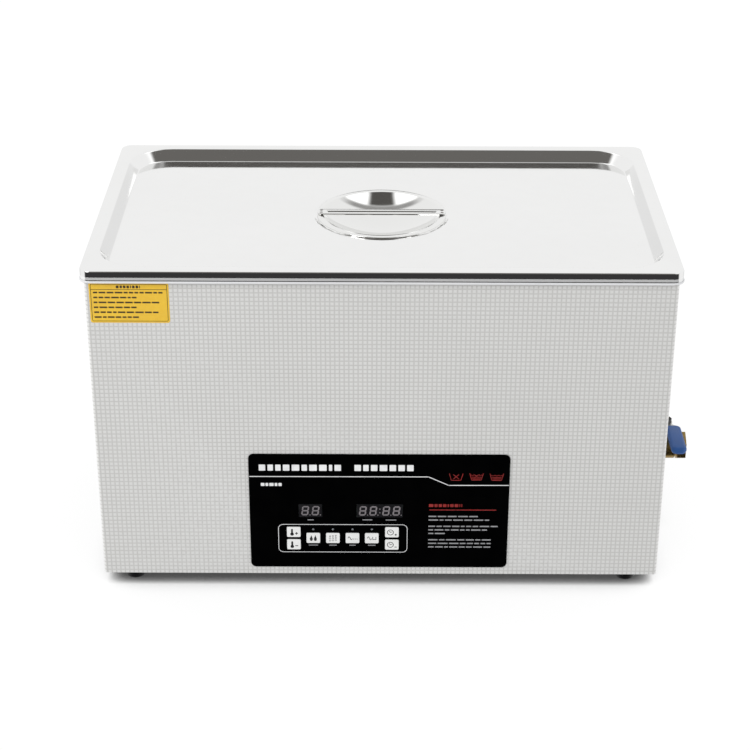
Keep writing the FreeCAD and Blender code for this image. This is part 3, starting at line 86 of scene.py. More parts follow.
def islands_of(node):
    """The boxes of a CAD node's separate solids, in millimetres, sorted by place."""
    shape = bmesh.new()
    shape.from_mesh(frame["nodes"][node].data)
    bmesh.ops.remove_doubles(shape, verts=shape.verts, dist=CAD_MERGE)
    waiting = set(shape.verts)
    boxes = []
    while waiting:
        stack = [waiting.pop()]
        low = stack[0].co.copy()
        high = low.copy()
        while stack:
            vertex = stack.pop()
            low = Vector(map(min, low, vertex.co))
            high = Vector(map(max, high, vertex.co))
            near = {edge.other_vert(vertex) for edge in vertex.link_edges} & waiting
            waiting -= near
            stack.extend(near)
        boxes.append((low / MM, high / MM))
    shape.free()
    return sorted(boxes, key=lambda pair: [round(x, 1) for x in pair[0]])


def bevelled(shape, edges, width, segments=2):
    bmesh.ops.bevel(shape, geom=edges, offset=width, segments=segments, profile=0.5,
                    affect="EDGES", material=-1, clamp_overlap=True)


def moved(shape, turn=Matrix(), at=(0, 0, 0)):
    bmesh.ops.transform(shape, matrix=Matrix.Translation(at) @ turn, verts=shape.verts)
    return shape


def together(shapes):
    """One bmesh from several, which are used up."""
    whole = bmesh.new()
    for shape in shapes:
        mesh = bpy.data.meshes.new("part")
        shape.to_mesh(mesh)
        shape.free()
        whole.from_mesh(mesh)
        bpy.data.meshes.remove(mesh)
    return whole


def block(low, high, axis=2, corner=0.0, rim=0.0, steps=4):
    """A block between two corners, its edges along the axis rounded by corner and its rims by rim."""
    shape = bmesh.new()
    bmesh.ops.create_cube(shape, size=1)
    low, high = Vector(low), Vector(high)
    bmesh.ops.scale(shape, vec=high - low, verts=shape.verts)
    bmesh.ops.translate(shape, vec=(high + low) / 2, verts=shape.verts)
    if corner:
        posts = [e for e in shape.edges
                 if abs((e.verts[0].co - e.verts[1].co).normalized()[axis]) > 0.9]
        bevelled(shape, posts, corner, steps)
    if rim:
        shape.normal_update()
        rims = [e for e in shape.edges
                if max(abs(f.normal[axis]) for f in e.link_faces) > 0.9
                and min(abs(f.normal[axis]) for f in e.link_faces) < 0.1]
        bevelled(shape, rims, rim, 2)
    return shape


def turned(profile, at=(0, 0, 0), turn=Matrix(), steps=64):
    """A lathe shape from points (radius, height), closed to the first unless both ends are on the axis."""
    shape = bmesh.new()
    points = [shape.verts.new((radius, 0, height)) for radius, height in profile]
    edges = [shape.edges.new(pair) for pair in zip(points, points[1:])]
    if max(profile[0][0], profile[-1][0]) > 1e-6:
        edges.append(shape.edges.new((points[-1], points[0])))
    bmesh.ops.spin(shape, geom=points + edges, cent=(0, 0, 0), axis=(0, 0, 1), dvec=(0, 0, 0),
                   angle=math.tau, steps=steps, use_merge=True)
    bmesh.ops.remove_doubles(shape, verts=shape.verts, dist=MERGE)
    return moved(shape, turn, at)


def arc(centre, radius, start, end, steps):
    """Points (radius, height) of an arc of a profile, angles in degrees."""
    angles = [math.radians(start + (end - start) * i / steps) for i in range(steps + 1)]
    return [(centre[0] + radius * math.cos(a), centre[1] + radius * math.sin(a)) for a in angles]


def prism(points, thickness, turn=Matrix(), at=(0, 0, 0)):
    """A plate with that outline in X and Y, thickness up from Z 0."""
    shape = bmesh.new()
    face = shape.faces.new([shape.verts.new((x, y, 0)) for x, y in points])
    grown = bmesh.ops.extrude_face_region(shape, geom=[face])["geom"]
    lifted = [v for v in grown if isinstance(v, bmesh.types.BMVert)]
    bmesh.ops.translate(shape, vec=(0, 0, thickness), verts=lifted)
    return moved(shape, turn, at)


def outline(half_x, half_y, corner, steps=8, splits=4):
    """Points round a rounded rectangle, its straight sides split as well."""
    places = ((1, -1, -90), (1, 1, 0), (-1, 1, 90), (-1, -1, 180))
    corners = [arc((sx * (half_x - corner), sy * (half_y - corner)), corner, start, start + 90, steps)
               for sx, sy, start in places]
    points = []
    for here, after in zip(corners, corners[1:] + corners[:1]):
        first, last = Vector(here[-1]), Vector(after[0])
        points += here + [first.lerp(last, i / splits) for i in range(1, splits)]
    return points


def stacked(rows):
    """A closed skin through rounded rectangles (half_x, half_y, corner, z), last joined to first."""
    shape = bmesh.new()
    loops = [[shape.verts.new((x, y, z)) for x, y in outline(half_x, half_y, corner)]
             for half_x, half_y, corner, z in rows]
    for first, second in zip(loops, loops[1:] + loops[:1]):
        for i in range(len(first)):
            shape.faces.new((first[i - 1], first[i], second[i], second[i - 1]))
    return shape


def placed(name, shape, material):
    """An object in the scene from a bmesh, which is used up."""
    mesh = bpy.data.meshes.new(name)
    shape.to_mesh(mesh)
    shape.free()
    mesh.materials.append(material)
    made = bpy.data.objects.new(name, mesh)
    SCENE.collection.objects.link(made)
    return made


def piece(name, shapes, material, body, replaces=(), sharp=35):
    """Finishes shapes as one object on that body, in metres, with smooth faces and sharp corners kept."""
    shape = together(shapes)
    bmesh.ops.remove_doubles(shape, verts=shape.verts, dist=MERGE)
    bmesh.ops.recalc_face_normals(shape, faces=shape.faces)
    bmesh.ops.scale(shape, vec=(MM, MM, MM), verts=shape.verts)
    return shown(name, shape, material, body, replaces, sharp)


def shown(name, shape, material, body, replaces, sharp, bevel=0.0):
    limit = math.radians(sharp)
    for face in shape.faces:
        face.smooth = True
    for edge in shape.edges:
        edge.smooth = len(edge.link_faces) == 2 and edge.calc_face_angle(0) < limit
    made = placed(name, shape, material)
    if bevel:
        edge_round = made.modifiers.new("edge_round", "BEVEL")
        edge_round.width = bevel * MM
        edge_round.segments = 2
        edge_round.limit_method = "ANGLE"
        edge_round.angle_limit = limit
    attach(made, body)
    if replaces:
        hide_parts(*replaces)
    return made


def soften(node, material, width, sharp=35):
    """Stands for a CAD node: the same shape with merged faces, smooth rounds and soften corners."""
    shape = bmesh.new()
    shape.from_mesh(frame["nodes"][node].data)
    bmesh.ops.remove_doubles(shape, verts=shape.verts, dist=CAD_MERGE)
    bmesh.ops.dissolve_limit(shape, angle_limit=math.radians(0.5), verts=shape.verts, edges=shape.edges)
    return shown(node + "_shell", shape, material, BODY_OF[node], (node,), sharp, width)


# ---- shader effects ----


def add(tree, kind, inputs=None, **settings):
    """A node with its settings, its inputs given numbers or linked to sockets."""
    made = tree.nodes.new(kind)
    for key, value in settings.items():
        setattr(made, key, value)
    for key, value in (inputs or {}).items():
        if isinstance(value, bpy.types.NodeSocket):
            tree.links.new(value, made.inputs[key])
        else:
            made.inputs[key].default_value = value
    return made


def calc(tree, operation, *values, clamp=False):
    made = add(tree, "ShaderNodeMath", dict(enumerate(values)), operation=operation, use_clamp=clamp)
    return made.outputs[0]


def times(tree, first, second, clamp=False):
    return calc(tree, "MULTIPLY", first, second, clamp=clamp)


def axes_of(tree, vector):
    return add(tree, "ShaderNodeSeparateXYZ", {0: vector}).outputs


def ramp(tree, value, low, high, to_low=0.0, to_high=1.0):
    """A smooth step of value between low and high."""
    made = add(tree, "ShaderNodeMapRange", {"Value": value, "From Min": low, "From Max": high,
                                           "To Min": to_low, "To Max": to_high},
               interpolation_type="SMOOTHSTEP")
    return made.outputs["Result"]


def noise(tree, vector, scale, detail=3.0, roughness=0.55):
    made = add(tree, "ShaderNodeTexNoise", {"Vector": vector, "Scale": scale, "Detail": detail,
                                           "Roughness": roughness})
    return made.outputs["Fac"]


def blend(tree, factor, first, second):
    made = add(tree, "ShaderNodeMix", {"Factor": factor}, data_type="RGBA")
    for key, value in ((6, first), (7, second)):
        if isinstance(value, bpy.types.NodeSocket):
            tree.links.new(value, made.inputs[key])
        else:
            made.inputs[key].default_value = (*value, 1.0)
    return made.outputs[2]


def new_effect(name, inputs, outputs):
    """A shader node group with named sockets: its tree, its inputs and a function that sets outputs."""
    tree = bpy.data.node_groups.new(name, "ShaderNodeTree")
    for label, kind, value in inputs:
        socket = tree.interface.new_socket(label, in_out="INPUT", socket_type=kind)
        socket.default_value = value
    for label in outputs:
        tree.interface.new_socket(label, in_out="OUTPUT", socket_type="NodeSocketFloat")
    source = tree.nodes.new("NodeGroupInput")
    sink = tree.nodes.new("NodeGroupOutput")

    def put_out(**results):
        for label, socket in results.items():
            tree.links.new(socket, sink.inputs[label])

    return tree, source.outputs, put_out


FLOAT, VECTOR = "NodeSocketFloat", "NodeSocketVector"
PLACE = ("Vector", VECTOR, (0, 0, 0))


def emboss_effect():
    """Small raised squares in rows: Across and Up are the two coordinates on the sheet."""
    tree, given, put_out = new_effect(
        "embossed_squares", [("Across", FLOAT, 0.0), ("Up", FLOAT, 0.0), ("Pitch", FLOAT, GRID_PITCH)],
        ["Height", "Groove"])
    grooves = []
    for label in ("Across", "Up"):
        share = calc(tree, "DIVIDE", given[label], given["Pitch"])
        wave = calc(tree, "PINGPONG", share, 0.5)
        grooves.append(ramp(tree, wave, 0.02, 0.26, 1.0, 0.0))
    groove = calc(tree, "MAXIMUM", *grooves)
    put_out(Height=calc(tree, "SUBTRACT", 1.0, groove), Groove=groove)
    return tree


def brushed_effect():
    """Fine drawn lines: Stretch squeezes space so that the lines run along its smallest value."""
    tree, given, put_out = new_effect(
        "brushed_lines", [PLACE, ("Stretch", VECTOR, (1, 1, 1))], ["Lines", "Clouds"])
    pulled = add(tree, "ShaderNodeVectorMath", {0: given["Vector"], 1: given["Stretch"]},
                 operation="MULTIPLY").outputs[0]
    put_out(Lines=noise(tree, pulled, 1.0, 4.0), Clouds=noise(tree, given["Vector"], 9.0, 2.0))
    return tree


def wear_effect():
    """Where corners are rubbed bright, broken up by noise."""
    tree, given, put_out = new_effect(
        "edge_wear", [PLACE, ("Amount", FLOAT, 0.5), ("Breakup", FLOAT, 240.0)], ["Wear"])
    point = add(tree, "ShaderNodeNewGeometry").outputs["Pointiness"]
    edge = ramp(tree, point, 0.52, 0.62)
    broken = ramp(tree, noise(tree, given["Vector"], given["Breakup"], 4.0), 0.35, 0.7)
    put_out(Wear=times(tree, times(tree, edge, broken), given["Amount"], clamp=True))
    return tree


def dust_effect():
    """A thin settled layer on faces that look up."""
    tree, given, put_out = new_effect("settled_dust", [PLACE, ("Amount", FLOAT, 0.2)], ["Dust"])
    normal = add(tree, "ShaderNodeNewGeometry").outputs["Normal"]
    up = axes_of(tree, normal)["Z"]
    patch = ramp(tree, noise(tree, given["Vector"], 60.0, 5.0), 0.3, 0.75)
    layer = times(tree, ramp(tree, up, 0.2, 1.0), patch)
    put_out(Dust=times(tree, layer, given["Amount"], clamp=True))
    return tree


def grain_effect():
    """The spark-eroded skin of a moulded part: fine pits and a slower mottling."""
    tree, given, put_out = new_effect(
        "moulded_grain", [PLACE, ("Scale", FLOAT, 2500.0)], ["Height", "Mottle"])
    pits = add(tree, "ShaderNodeTexVoronoi", {"Vector": given["Vector"], "Scale": given["Scale"]},
               feature="SMOOTH_F1").outputs["Distance"]
    put_out(Height=pits, Mottle=noise(tree, given["Vector"], 45.0, 4.0))
    return tree


EMBOSS = emboss_effect()
BRUSHED = brushed_effect()
WEAR = wear_effect()
DUST = dust_effect()
GRAIN = grain_effect()


# ---- materials ----


def new_material(name, metallic, **sockets):
    """A material, its tree, its shader with plain values on its own sockets, and object coordinates."""
    material = bpy.data.materials.new(name)
    material.use_nodes = True
    tree = material.node_tree
    shader = tree.nodes["Principled BSDF"]
    shader.inputs["Metallic"].default_value = metallic
    for label, value in sockets.items():
        shader.inputs[label.replace("_", " ")].default_value = value
    place = add(tree, "ShaderNodeTexCoord").outputs["Object"]
    return material, tree, shader, place


def use(tree, group, **values):
    return add(tree, "ShaderNodeGroup", values, node_tree=group).outputs


def coat(tree, shader, colour, roughness):
    tree.links.new(colour, shader.inputs["Base Color"])
    tree.links.new(roughness, shader.inputs["Roughness"])


def bump(tree, shader, height, distance, strength=1.0, after=None):
    given = {"Height": height, "Distance": distance, "Strength": strength}
    if after is not None:
        given["Normal"] = after
    normal = add(tree, "ShaderNodeBump", given).outputs["Normal"]
    tree.links.new(normal, shader.inputs["Normal"])
    return normal


def embossed_steel(name, across):
    """Linen-embossed stainless sheet; across is the axis that runs along the sheet's width."""
    material, tree, shader, place = new_material(name, 0.25)
    split = axes_of(tree, place)
    squares = use(tree, EMBOSS, Across=split[across], Up=split["Z"])
    lines = use(tree, BRUSHED, Vector=place, Stretch=(60.0, 60.0, 900.0))
    wear = use(tree, WEAR, Vector=place, Amount=0.5)["Wear"]
    clean = blend(tree, lines["Clouds"], (0.78, 0.775, 0.76), (0.84, 0.835, 0.82))
    # Painted shade: the grooves between the raised squares are darkened in colour.
    painted_groove_shade = blend(tree, times(tree, squares["Groove"], 0.62), clean, (0.54, 0.532, 0.51))
    rubbed = blend(tree, wear, painted_groove_shade, (0.86, 0.86, 0.85))
    coat(tree, shader, rubbed, ramp(tree, lines["Lines"], 0.3, 0.7, 0.42, 0.52))
    bump(tree, shader, squares["Height"], 0.00022, 0.7)
    return material


def painted_highlight_mask(tree, place, start, end):
    """Mask of a painted highlight band: 1 on the outer skirt between two heights, 0 elsewhere."""
    axes = axes_of(tree, place)
    above = ramp(tree, axes["Z"], start - SOFT, start)
    below = ramp(tree, axes["Z"], end, end + SOFT, 1.0, 0.0)
    along = calc(tree, "SUBTRACT", calc(tree, "ABSOLUTE", axes["X"]), LONGER)
    reach = calc(tree, "MAXIMUM", along, calc(tree, "ABSOLUTE", axes["Y"]))
    outer = ramp(tree, reach, SKIRT_REACH, SKIRT_REACH + SOFT)
    return times(tree, times(tree, above, below), outer)


def sheet_steel(name, bright, dull, rough_low, rough_high, stretch, depth=0.00002, dust=0.0, wear=0.3,
                highlight_band=None):
    """Drawn or pressed stainless: streaks, faint clouds, rubbed corners and a little dust.

    A band of heights may be given, in metres, with how metallic it stays there: inside it the steel is made
    less metallic, a painted highlight line."""
    material, tree, shader, place = new_material(name, 1.0)
    lines = use(tree, BRUSHED, Vector=place, Stretch=stretch)
    colour = blend(tree, lines["Clouds"], dull, bright)
    rubbed = use(tree, WEAR, Vector=place, Amount=wear)["Wear"]
    colour = blend(tree, rubbed, colour, (0.93, 0.93, 0.92))
    if dust:
        layer = use(tree, DUST, Vector=place, Amount=dust)["Dust"]
        colour = blend(tree, layer, colour, (0.52, 0.51, 0.48))
    coat(tree, shader, colour, ramp(tree, lines["Lines"], 0.25, 0.75, rough_low, rough_high))
    # Painted highlight: inside the given band of heights the steel is made less metallic, so it shows as a
    # bright line on the rolled hem and flange edges.
    if highlight_band:
        start, end, metallic = highlight_band
        band = painted_highlight_mask(tree, place, start, end)
        tree.links.new(ramp(tree, band, 0.0, 1.0, 1.0, metallic), shader.inputs["Metallic"])
    bump(tree, shader, lines["Lines"], depth)
    return material


def moulded(name, colour, second, rough_low, rough_high, scale=2500.0, depth=0.00002, wear=0.2, dust=0.0,
            metallic=0.0, worn=None, **sockets):
    """Moulded plastic, rubber, ceramic or paint: pits, mottling, rubbed corners and dust."""
    material, tree, shader, place = new_material(name, metallic, **sockets)
    grain = use(tree, GRAIN, Vector=place, Scale=scale)
    mixed = blend(tree, ramp(tree, grain["Mottle"], 0.3, 0.7), colour, second)
    rubbed = use(tree, WEAR, Vector=place, Amount=wear)["Wear"]
    lighter = worn or tuple(min(1.0, 1.5 * x + 0.05) for x in colour)
    mixed = blend(tree, rubbed, mixed, lighter)
    if dust:
        layer = use(tree, DUST, Vector=place, Amount=dust)["Dust"]
        mixed = blend(tree, layer, mixed, (0.42, 0.41, 0.38))
    coat(tree, shader, mixed, ramp(tree, grain["Mottle"], 0.3, 0.7, rough_low, rough_high))
    bump(tree, shader, grain["Height"], depth)
    return material


def threaded_brass():
    """Bare brass: cast mottling, turning marks along the pipe and a darker tarnish in the hollows."""
    material, tree, shader, place = new_material("bare_brass", 1.0)
    grain = use(tree, GRAIN, Vector=place, Scale=1400.0)
    lines = use(tree, BRUSHED, Vector=place, Stretch=(1500.0, 40.0, 40.0))
    mottle = ramp(tree, grain["Mottle"], 0.35, 0.65)
    warm = blend(tree, mottle, (0.30, 0.20, 0.06), (0.46, 0.32, 0.11))
    hollows = ramp(tree, lines["Clouds"], 0.45, 0.7, 0.0, 0.6)
    tarnish = blend(tree, hollows, warm, (0.17, 0.115, 0.045))
    wear = use(tree, WEAR, Vector=place, Amount=0.8)["Wear"]
    rubbed = blend(tree, wear, tarnish, (0.86, 0.66, 0.30))
    coat(tree, shader, rubbed, ramp(tree, lines["Lines"], 0.3, 0.7, 0.22, 0.4))
    pits = bump(tree, shader, grain["Height"], 0.00004)
    bump(tree, shader, lines["Lines"], 0.00002, after=pits)
    return material


def sticker(name, colour, second):
    """Printed vinyl: slightly uneven ink under a semi-gloss film."""
    return moulded(name, colour, second, 0.32, 0.42, 1800.0, 0.000008, 0.1,
                   Coat_Weight=0.25, Coat_Roughness=0.2)


def ink(name, colour, second, rough_low=0.4, rough_high=0.55):
    """Screen-printed ink: almost flat, a little uneven."""
    return moulded(name, colour, second, rough_low, rough_high, 4000.0, 0.000004)


def board_laminate():
    """Green solder mask over copper tracks, seen as a finer, slightly raised maze."""
    material, tree, shader, place = new_material("board_laminate", 0.0, Coat_Weight=0.3,
                                                 Coat_Roughness=0.25)
    cells = add(tree, "ShaderNodeTexVoronoi", {"Vector": place, "Scale": 320.0},
                distance="MANHATTAN", feature="DISTANCE_TO_EDGE").outputs["Distance"]
    track = ramp(tree, cells, 0.02, 0.09, 1.0, 0.0)
    mask = blend(tree, track, (0.012, 0.10, 0.035), (0.03, 0.21, 0.07))
    coat(tree, shader, mask, ramp(tree, noise(tree, place, 80.0), 0.3, 0.7, 0.3, 0.45))
    bump(tree, shader, track, 0.00006)
    return material


STEEL_FRONT = embossed_steel("embossed_front", "X")
STEEL_SIDE = embossed_steel("embossed_side", "Y")
LID_STEEL = sheet_steel("lid_sheet", (0.86, 0.86, 0.855), (0.83, 0.83, 0.825), 0.05, 0.09,
                        (30.0, 700.0, 700.0), 0.000002, dust=0.02, wear=0.15, highlight_band=HEM_HIGHLIGHT_BAND)
GRIP_STEEL = sheet_steel("grip_sheet", (0.84, 0.84, 0.83), (0.78, 0.78, 0.77), 0.05, 0.09,
                         (40.0, 900.0, 900.0), 0.000001, wear=0.2)
TANK_STEEL = sheet_steel("tank_sheet", (0.74, 0.74, 0.75), (0.66, 0.66, 0.67), 0.16, 0.28,
                         (300.0, 300.0, 14.0), 0.000006, highlight_band=FLANGE_HIGHLIGHT_BAND)
PLAIN_STEEL = sheet_steel("plain_sheet", (0.62, 0.62, 0.61), (0.50, 0.50, 0.50), 0.28, 0.42,
                          (30.0, 500.0, 500.0), 0.00001, dust=0.15)
SCREW_STEEL = sheet_steel("screw_steel", (0.70, 0.70, 0.68), (0.56, 0.55, 0.53), 0.22, 0.36,
                          (400.0, 400.0, 400.0), 0.00001, wear=0.7)
CHROME = sheet_steel("chromed_rod", (0.86, 0.87, 0.88), (0.78, 0.79, 0.80), 0.05, 0.12,
                     (500.0, 500.0, 500.0), 0.000002, wear=0.2)
ALUMINIUM = sheet_steel("turned_aluminium", (0.80, 0.80, 0.81), (0.68, 0.68, 0.70), 0.3, 0.42,
                        (60.0, 60.0, 1800.0), 0.00001)
BRASS = threaded_brass()
RUBBER = moulded("foot_rubber", (0.006, 0.006, 0.007), (0.012, 0.012, 0.013), 0.4, 0.6, 1600.0,
                 dust=0.1, Specular_IOR_Level=0.25)
SEAL_RUBBER = moulded("seal_rubber", (0.50, 0.50, 0.50), (0.42, 0.42, 0.42), 0.5, 0.65, 1500.0, 0.00003,
                      Subsurface_Weight=0.1)
PANEL_FILM = moulded("panel_film", (0.0004, 0.0004, 0.0005), (0.0007, 0.0007, 0.0008), 0.38, 0.5, 3200.0,
                     0.000006, wear=0.0, Specular_IOR_Level=0.02)
KEY_CAP = moulded("key_cap", (0.80, 0.80, 0.79), (0.74, 0.74, 0.73), 0.32, 0.42, 3000.0, 0.00001, wear=0.1)
WHITE_INK = ink("white_ink", (0.80, 0.80, 0.80), (0.68, 0.68, 0.69))
DIM_INK = ink("dim_ink", (0.30, 0.30, 0.31), (0.24, 0.24, 0.25))
RED_INK = ink("red_ink", (0.30, 0.009, 0.007), (0.22, 0.007, 0.006))
BLACK_INK = ink("black_ink", (0.012, 0.012, 0.013), (0.03, 0.03, 0.03), 0.4, 0.6)
DISPLAY_WINDOW = moulded("display_window", (0.006, 0.006, 0.007), (0.009, 0.009, 0.010), 0.12, 0.2,
                         2600.0, 0.000002, Coat_Weight=0.2, Specular_IOR_Level=0.2)
SEGMENT = moulded("unlit_segment", (0.20, 0.18, 0.19), (0.15, 0.135, 0.145), 0.35, 0.5, 3000.0,
                  0.000004)
BOARD = board_laminate()
DARK_PLASTIC = moulded("dark_plastic", (0.016, 0.016, 0.017), (0.028, 0.028, 0.03), 0.34, 0.5, 2200.0,
                       0.00003, dust=0.1)
ROCKER_PLASTIC = moulded("rocker_plastic", (0.010, 0.010, 0.011), (0.018, 0.018, 0.018), 0.2, 0.3, 2600.0,
                         0.00001)
LAMP = moulded("lamp_lens", (0.30, 0.32, 0.34), (0.22, 0.23, 0.25), 0.12, 0.2, 3000.0, 0.000005,
               Transmission_Weight=0.3, IOR=1.5)
SLEEVE_VINYL = moulded("sleeve_vinyl", (0.022, 0.085, 0.27), (0.032, 0.105, 0.33), 0.34, 0.48, 1500.0,
                       0.00001, worn=(0.06, 0.13, 0.36), Specular_IOR_Level=0.25)
VALVE_SEAT = moulded("seat_polymer", (0.72, 0.71, 0.68), (0.64, 0.63, 0.60), 0.3, 0.45)
CERAMIC = moulded("piezo_ceramic", (0.30, 0.26, 0.20), (0.22, 0.19, 0.15), 0.5, 0.7, 900.0, 0.00003)
HEATER = moulded("heater_silicone", (0.42, 0.10, 0.03), (0.34, 0.075, 0.025), 0.55, 0.7, 700.0, 0.0001)
FERRITE = moulded("ferrite_core", (0.05, 0.05, 0.055), (0.08, 0.08, 0.085), 0.5, 0.7, 1200.0, 0.00004)
CAPACITOR = moulded("capacitor_sleeve", (0.02, 0.05, 0.19), (0.03, 0.07, 0.24), 0.25, 0.4)
NYLON = moulded("spacer_nylon", (0.72, 0.71, 0.66), (0.64, 0.63, 0.58), 0.4, 0.55, Subsurface_Weight=0.1)
NUT_BLACK = moulded("blacked_nut", (0.008, 0.008, 0.009), (0.016, 0.016, 0.017), 0.3, 0.45, 1800.0,
                    wear=0.3, worn=(0.08, 0.08, 0.08), Specular_IOR_Level=0.15)
YELLOW = sticker("caution_yellow", (0.80, 0.50, 0.035), (0.76, 0.46, 0.03))
BROWN = sticker("caution_print", (0.05, 0.035, 0.015), (0.08, 0.05, 0.02))
SILVER = sticker("rating_silver", (0.62, 0.63, 0.64), (0.56, 0.57, 0.58))
TINTED_STEEL = sheet_steel("weld_tint", (0.30, 0.28, 0.26), (0.16, 0.15, 0.15), 0.3, 0.5,
                           (500.0, 500.0, 500.0), 0.00001, wear=0.0)


# ---- housing ----


SCREW_HEAD = 1.8


def screw(x, y, seat, length):
    """A pan head with a cross recess, looking down, its shank going up."""
    head = [(0, 0.9), (1.7, 0.9), (1.7, 0.1), *arc((1.7, 1.0), 0.9, -90, 0, 4), (2.6, SCREW_HEAD)]
    shank = [(1.5, SCREW_HEAD), (1.5, length + SCREW_HEAD), (0, length + SCREW_HEAD)]
    collar = turned(head + shank, (x, y, seat), steps=24)
    angles = [math.radians(a) for a in (16, 35, 55, 74)]
    curve = [(1.6 * math.cos(a), 1.6 * math.sin(a)) for a in angles]
    corners = []
    for quarter in range(4):
        corners.append(prism([(0.4, 0.4), *curve], 0.75, spun(90 * quarter), (x, y, seat + 0.2)))
    return [collar, *corners]


def housing_screws():
    shapes = []
    for low, high in islands_of("housing_screws"):
        middle = (low + high) / 2
        shapes += screw(middle.x, middle.y, low.z, high.z - low.z - SCREW_HEAD)
    piece("housing_screws_set", shapes, SCREW_STEEL, "housing", ("housing_screws",))


def rubber_feet():
    shapes = []
    for low, high in islands_of("rubber_feet"):
        middle = (low + high) / 2
        radius = (high.x - low.x) / 2
        top = high.z
        sole = radius - 0.6
        side = [(sole, 0.2), (radius - 0.2, 0.9), (radius - 0.1, 0.5 * top), (radius, 0.84 * top),
                (radius, top - 0.5), (radius - 0.5, top), (0, top)]
        profile = [(0, 7.0), (4.2, 7.0), (4.6, 6.6), (4.6, 0.6), (5.1, 0.0), (sole - 0.4, 0.0), *side]
        shapes.append(turned(profile, (middle.x, middle.y, low.z), steps=48))
    piece("rubber_feet_set", shapes, RUBBER, "housing", ("rubber_feet",))


def housing():
    soften("front_panel", STEEL_FRONT, 0.25)
    soften("rear_panel", STEEL_FRONT, 0.2)
    soften("left_panel", STEEL_SIDE, 0.25)
    soften("right_panel", STEEL_SIDE, 0.25)
    soften("base_plate", PLAIN_STEEL, 0.2)
    soften("tank", TANK_STEEL, 0.5)
    housing_screws()
    rubber_feet()


# ---- lid ----

LID_SHEET = 1.0
LID_RIM = 13.0        # flat rim between the skirt and the dish
LID_CORNER = 11.0
DISH_CORNER = 40.0
DISH_RUN = 8.5        # how far the dish's wall leans in on its way down
DISH_DEPTH = 10.0
SKIRT_ROLL = 0.9      # radii of the rolled edges and of the hem's bead
DISH_ROLL = 1.5
HEM = 1.0
GRIP_HOLE = 57.9


def lined(rows, thickness):
    """The same section again, one sheet inside it, in the opposite order."""
    inner = []
    for index, (out_x, out_y, corner, z) in enumerate(rows):
        before, after = rows[max(index - 1, 0)], rows[min(index + 1, len(rows) - 1)]
        along = Vector((before[0] - after[0], after[3] - before[3]))
        along.normalize()
        step, drop = along.y * thickness, -along.x * thickness
        inner.append((out_x - step, out_y - step, max(corner - step, 0.5), z + drop))
    return inner[::-1]


def lid_section(half_x, half_y, bottom, top):
    """The pressing from the curled hem of its skirt, over the rolled rim, down to the floor of its pan."""
    floor = top - DISH_DEPTH
    skirt, dish = [], []
    for i in range(8):
        angle = math.radians(-80 + 22 * i)
        skirt.append((HEM * (1 - math.cos(angle)), bottom + HEM * (1 + math.sin(angle))))
    for i in range(6):
        angle = math.radians(18 * i)
        inset = 0.8 * HEM + SKIRT_ROLL * (1 - math.cos(angle))
        skirt.append((inset, top - SKIRT_ROLL * (1 - math.sin(angle))))
    skirt.append((3.0, top))
    slope = math.atan2(DISH_DEPTH, DISH_RUN)
    tangent = math.tan(slope / 2)
    for i in range(5):
        angle = slope * i / 4
        dish.append((DISH_ROLL * (math.sin(angle) - tangent), top - DISH_ROLL * (1 - math.cos(angle))))
    rolled = DISH_ROLL * tangent / math.hypot(DISH_DEPTH, DISH_RUN)
    for share in (rolled + 0.05, 0.95 - rolled):
        dish.append((share * DISH_RUN, top - share * DISH_DEPTH))
    for i in range(5):
        angle = slope * (1 - i / 4)
        inset = DISH_RUN + DISH_ROLL * (tangent - math.sin(angle))
        dish.append((inset, floor + DISH_ROLL * (1 - math.cos(angle))))
    dish += [(DISH_RUN + run, floor) for run in (1.0, 6.0)]
    rows = [(half_x - inset, half_y - inset, LID_CORNER - inset, z) for inset, z in skirt]
    half_x, half_y = half_x - LID_RIM, half_y - LID_RIM
    return rows + [(half_x - inset, half_y - inset, DISH_CORNER - inset, z) for inset, z in dish]


def lid_panel():
    low, high = box_of("lid_panel")
    floor = high.z - DISH_DEPTH
    rows = lid_section(high.x, high.y, low.z, high.z)
    groove = [(72.0, 0.0), (65.0, 0.0), (64.4, 0.02), (63.6, 0.75), (61.4, 0.75), (60.8, 0.0),
              (GRIP_HOLE, 0.0), (GRIP_HOLE, LID_SHEET)]
    hole = [(radius, radius, radius - 0.1, floor - drop) for radius, drop in groove]
    piece("lid_shell", [stacked(rows + hole + lined(rows, LID_SHEET))], LID_STEEL, "lid",
          ("lid_panel",), sharp=50)


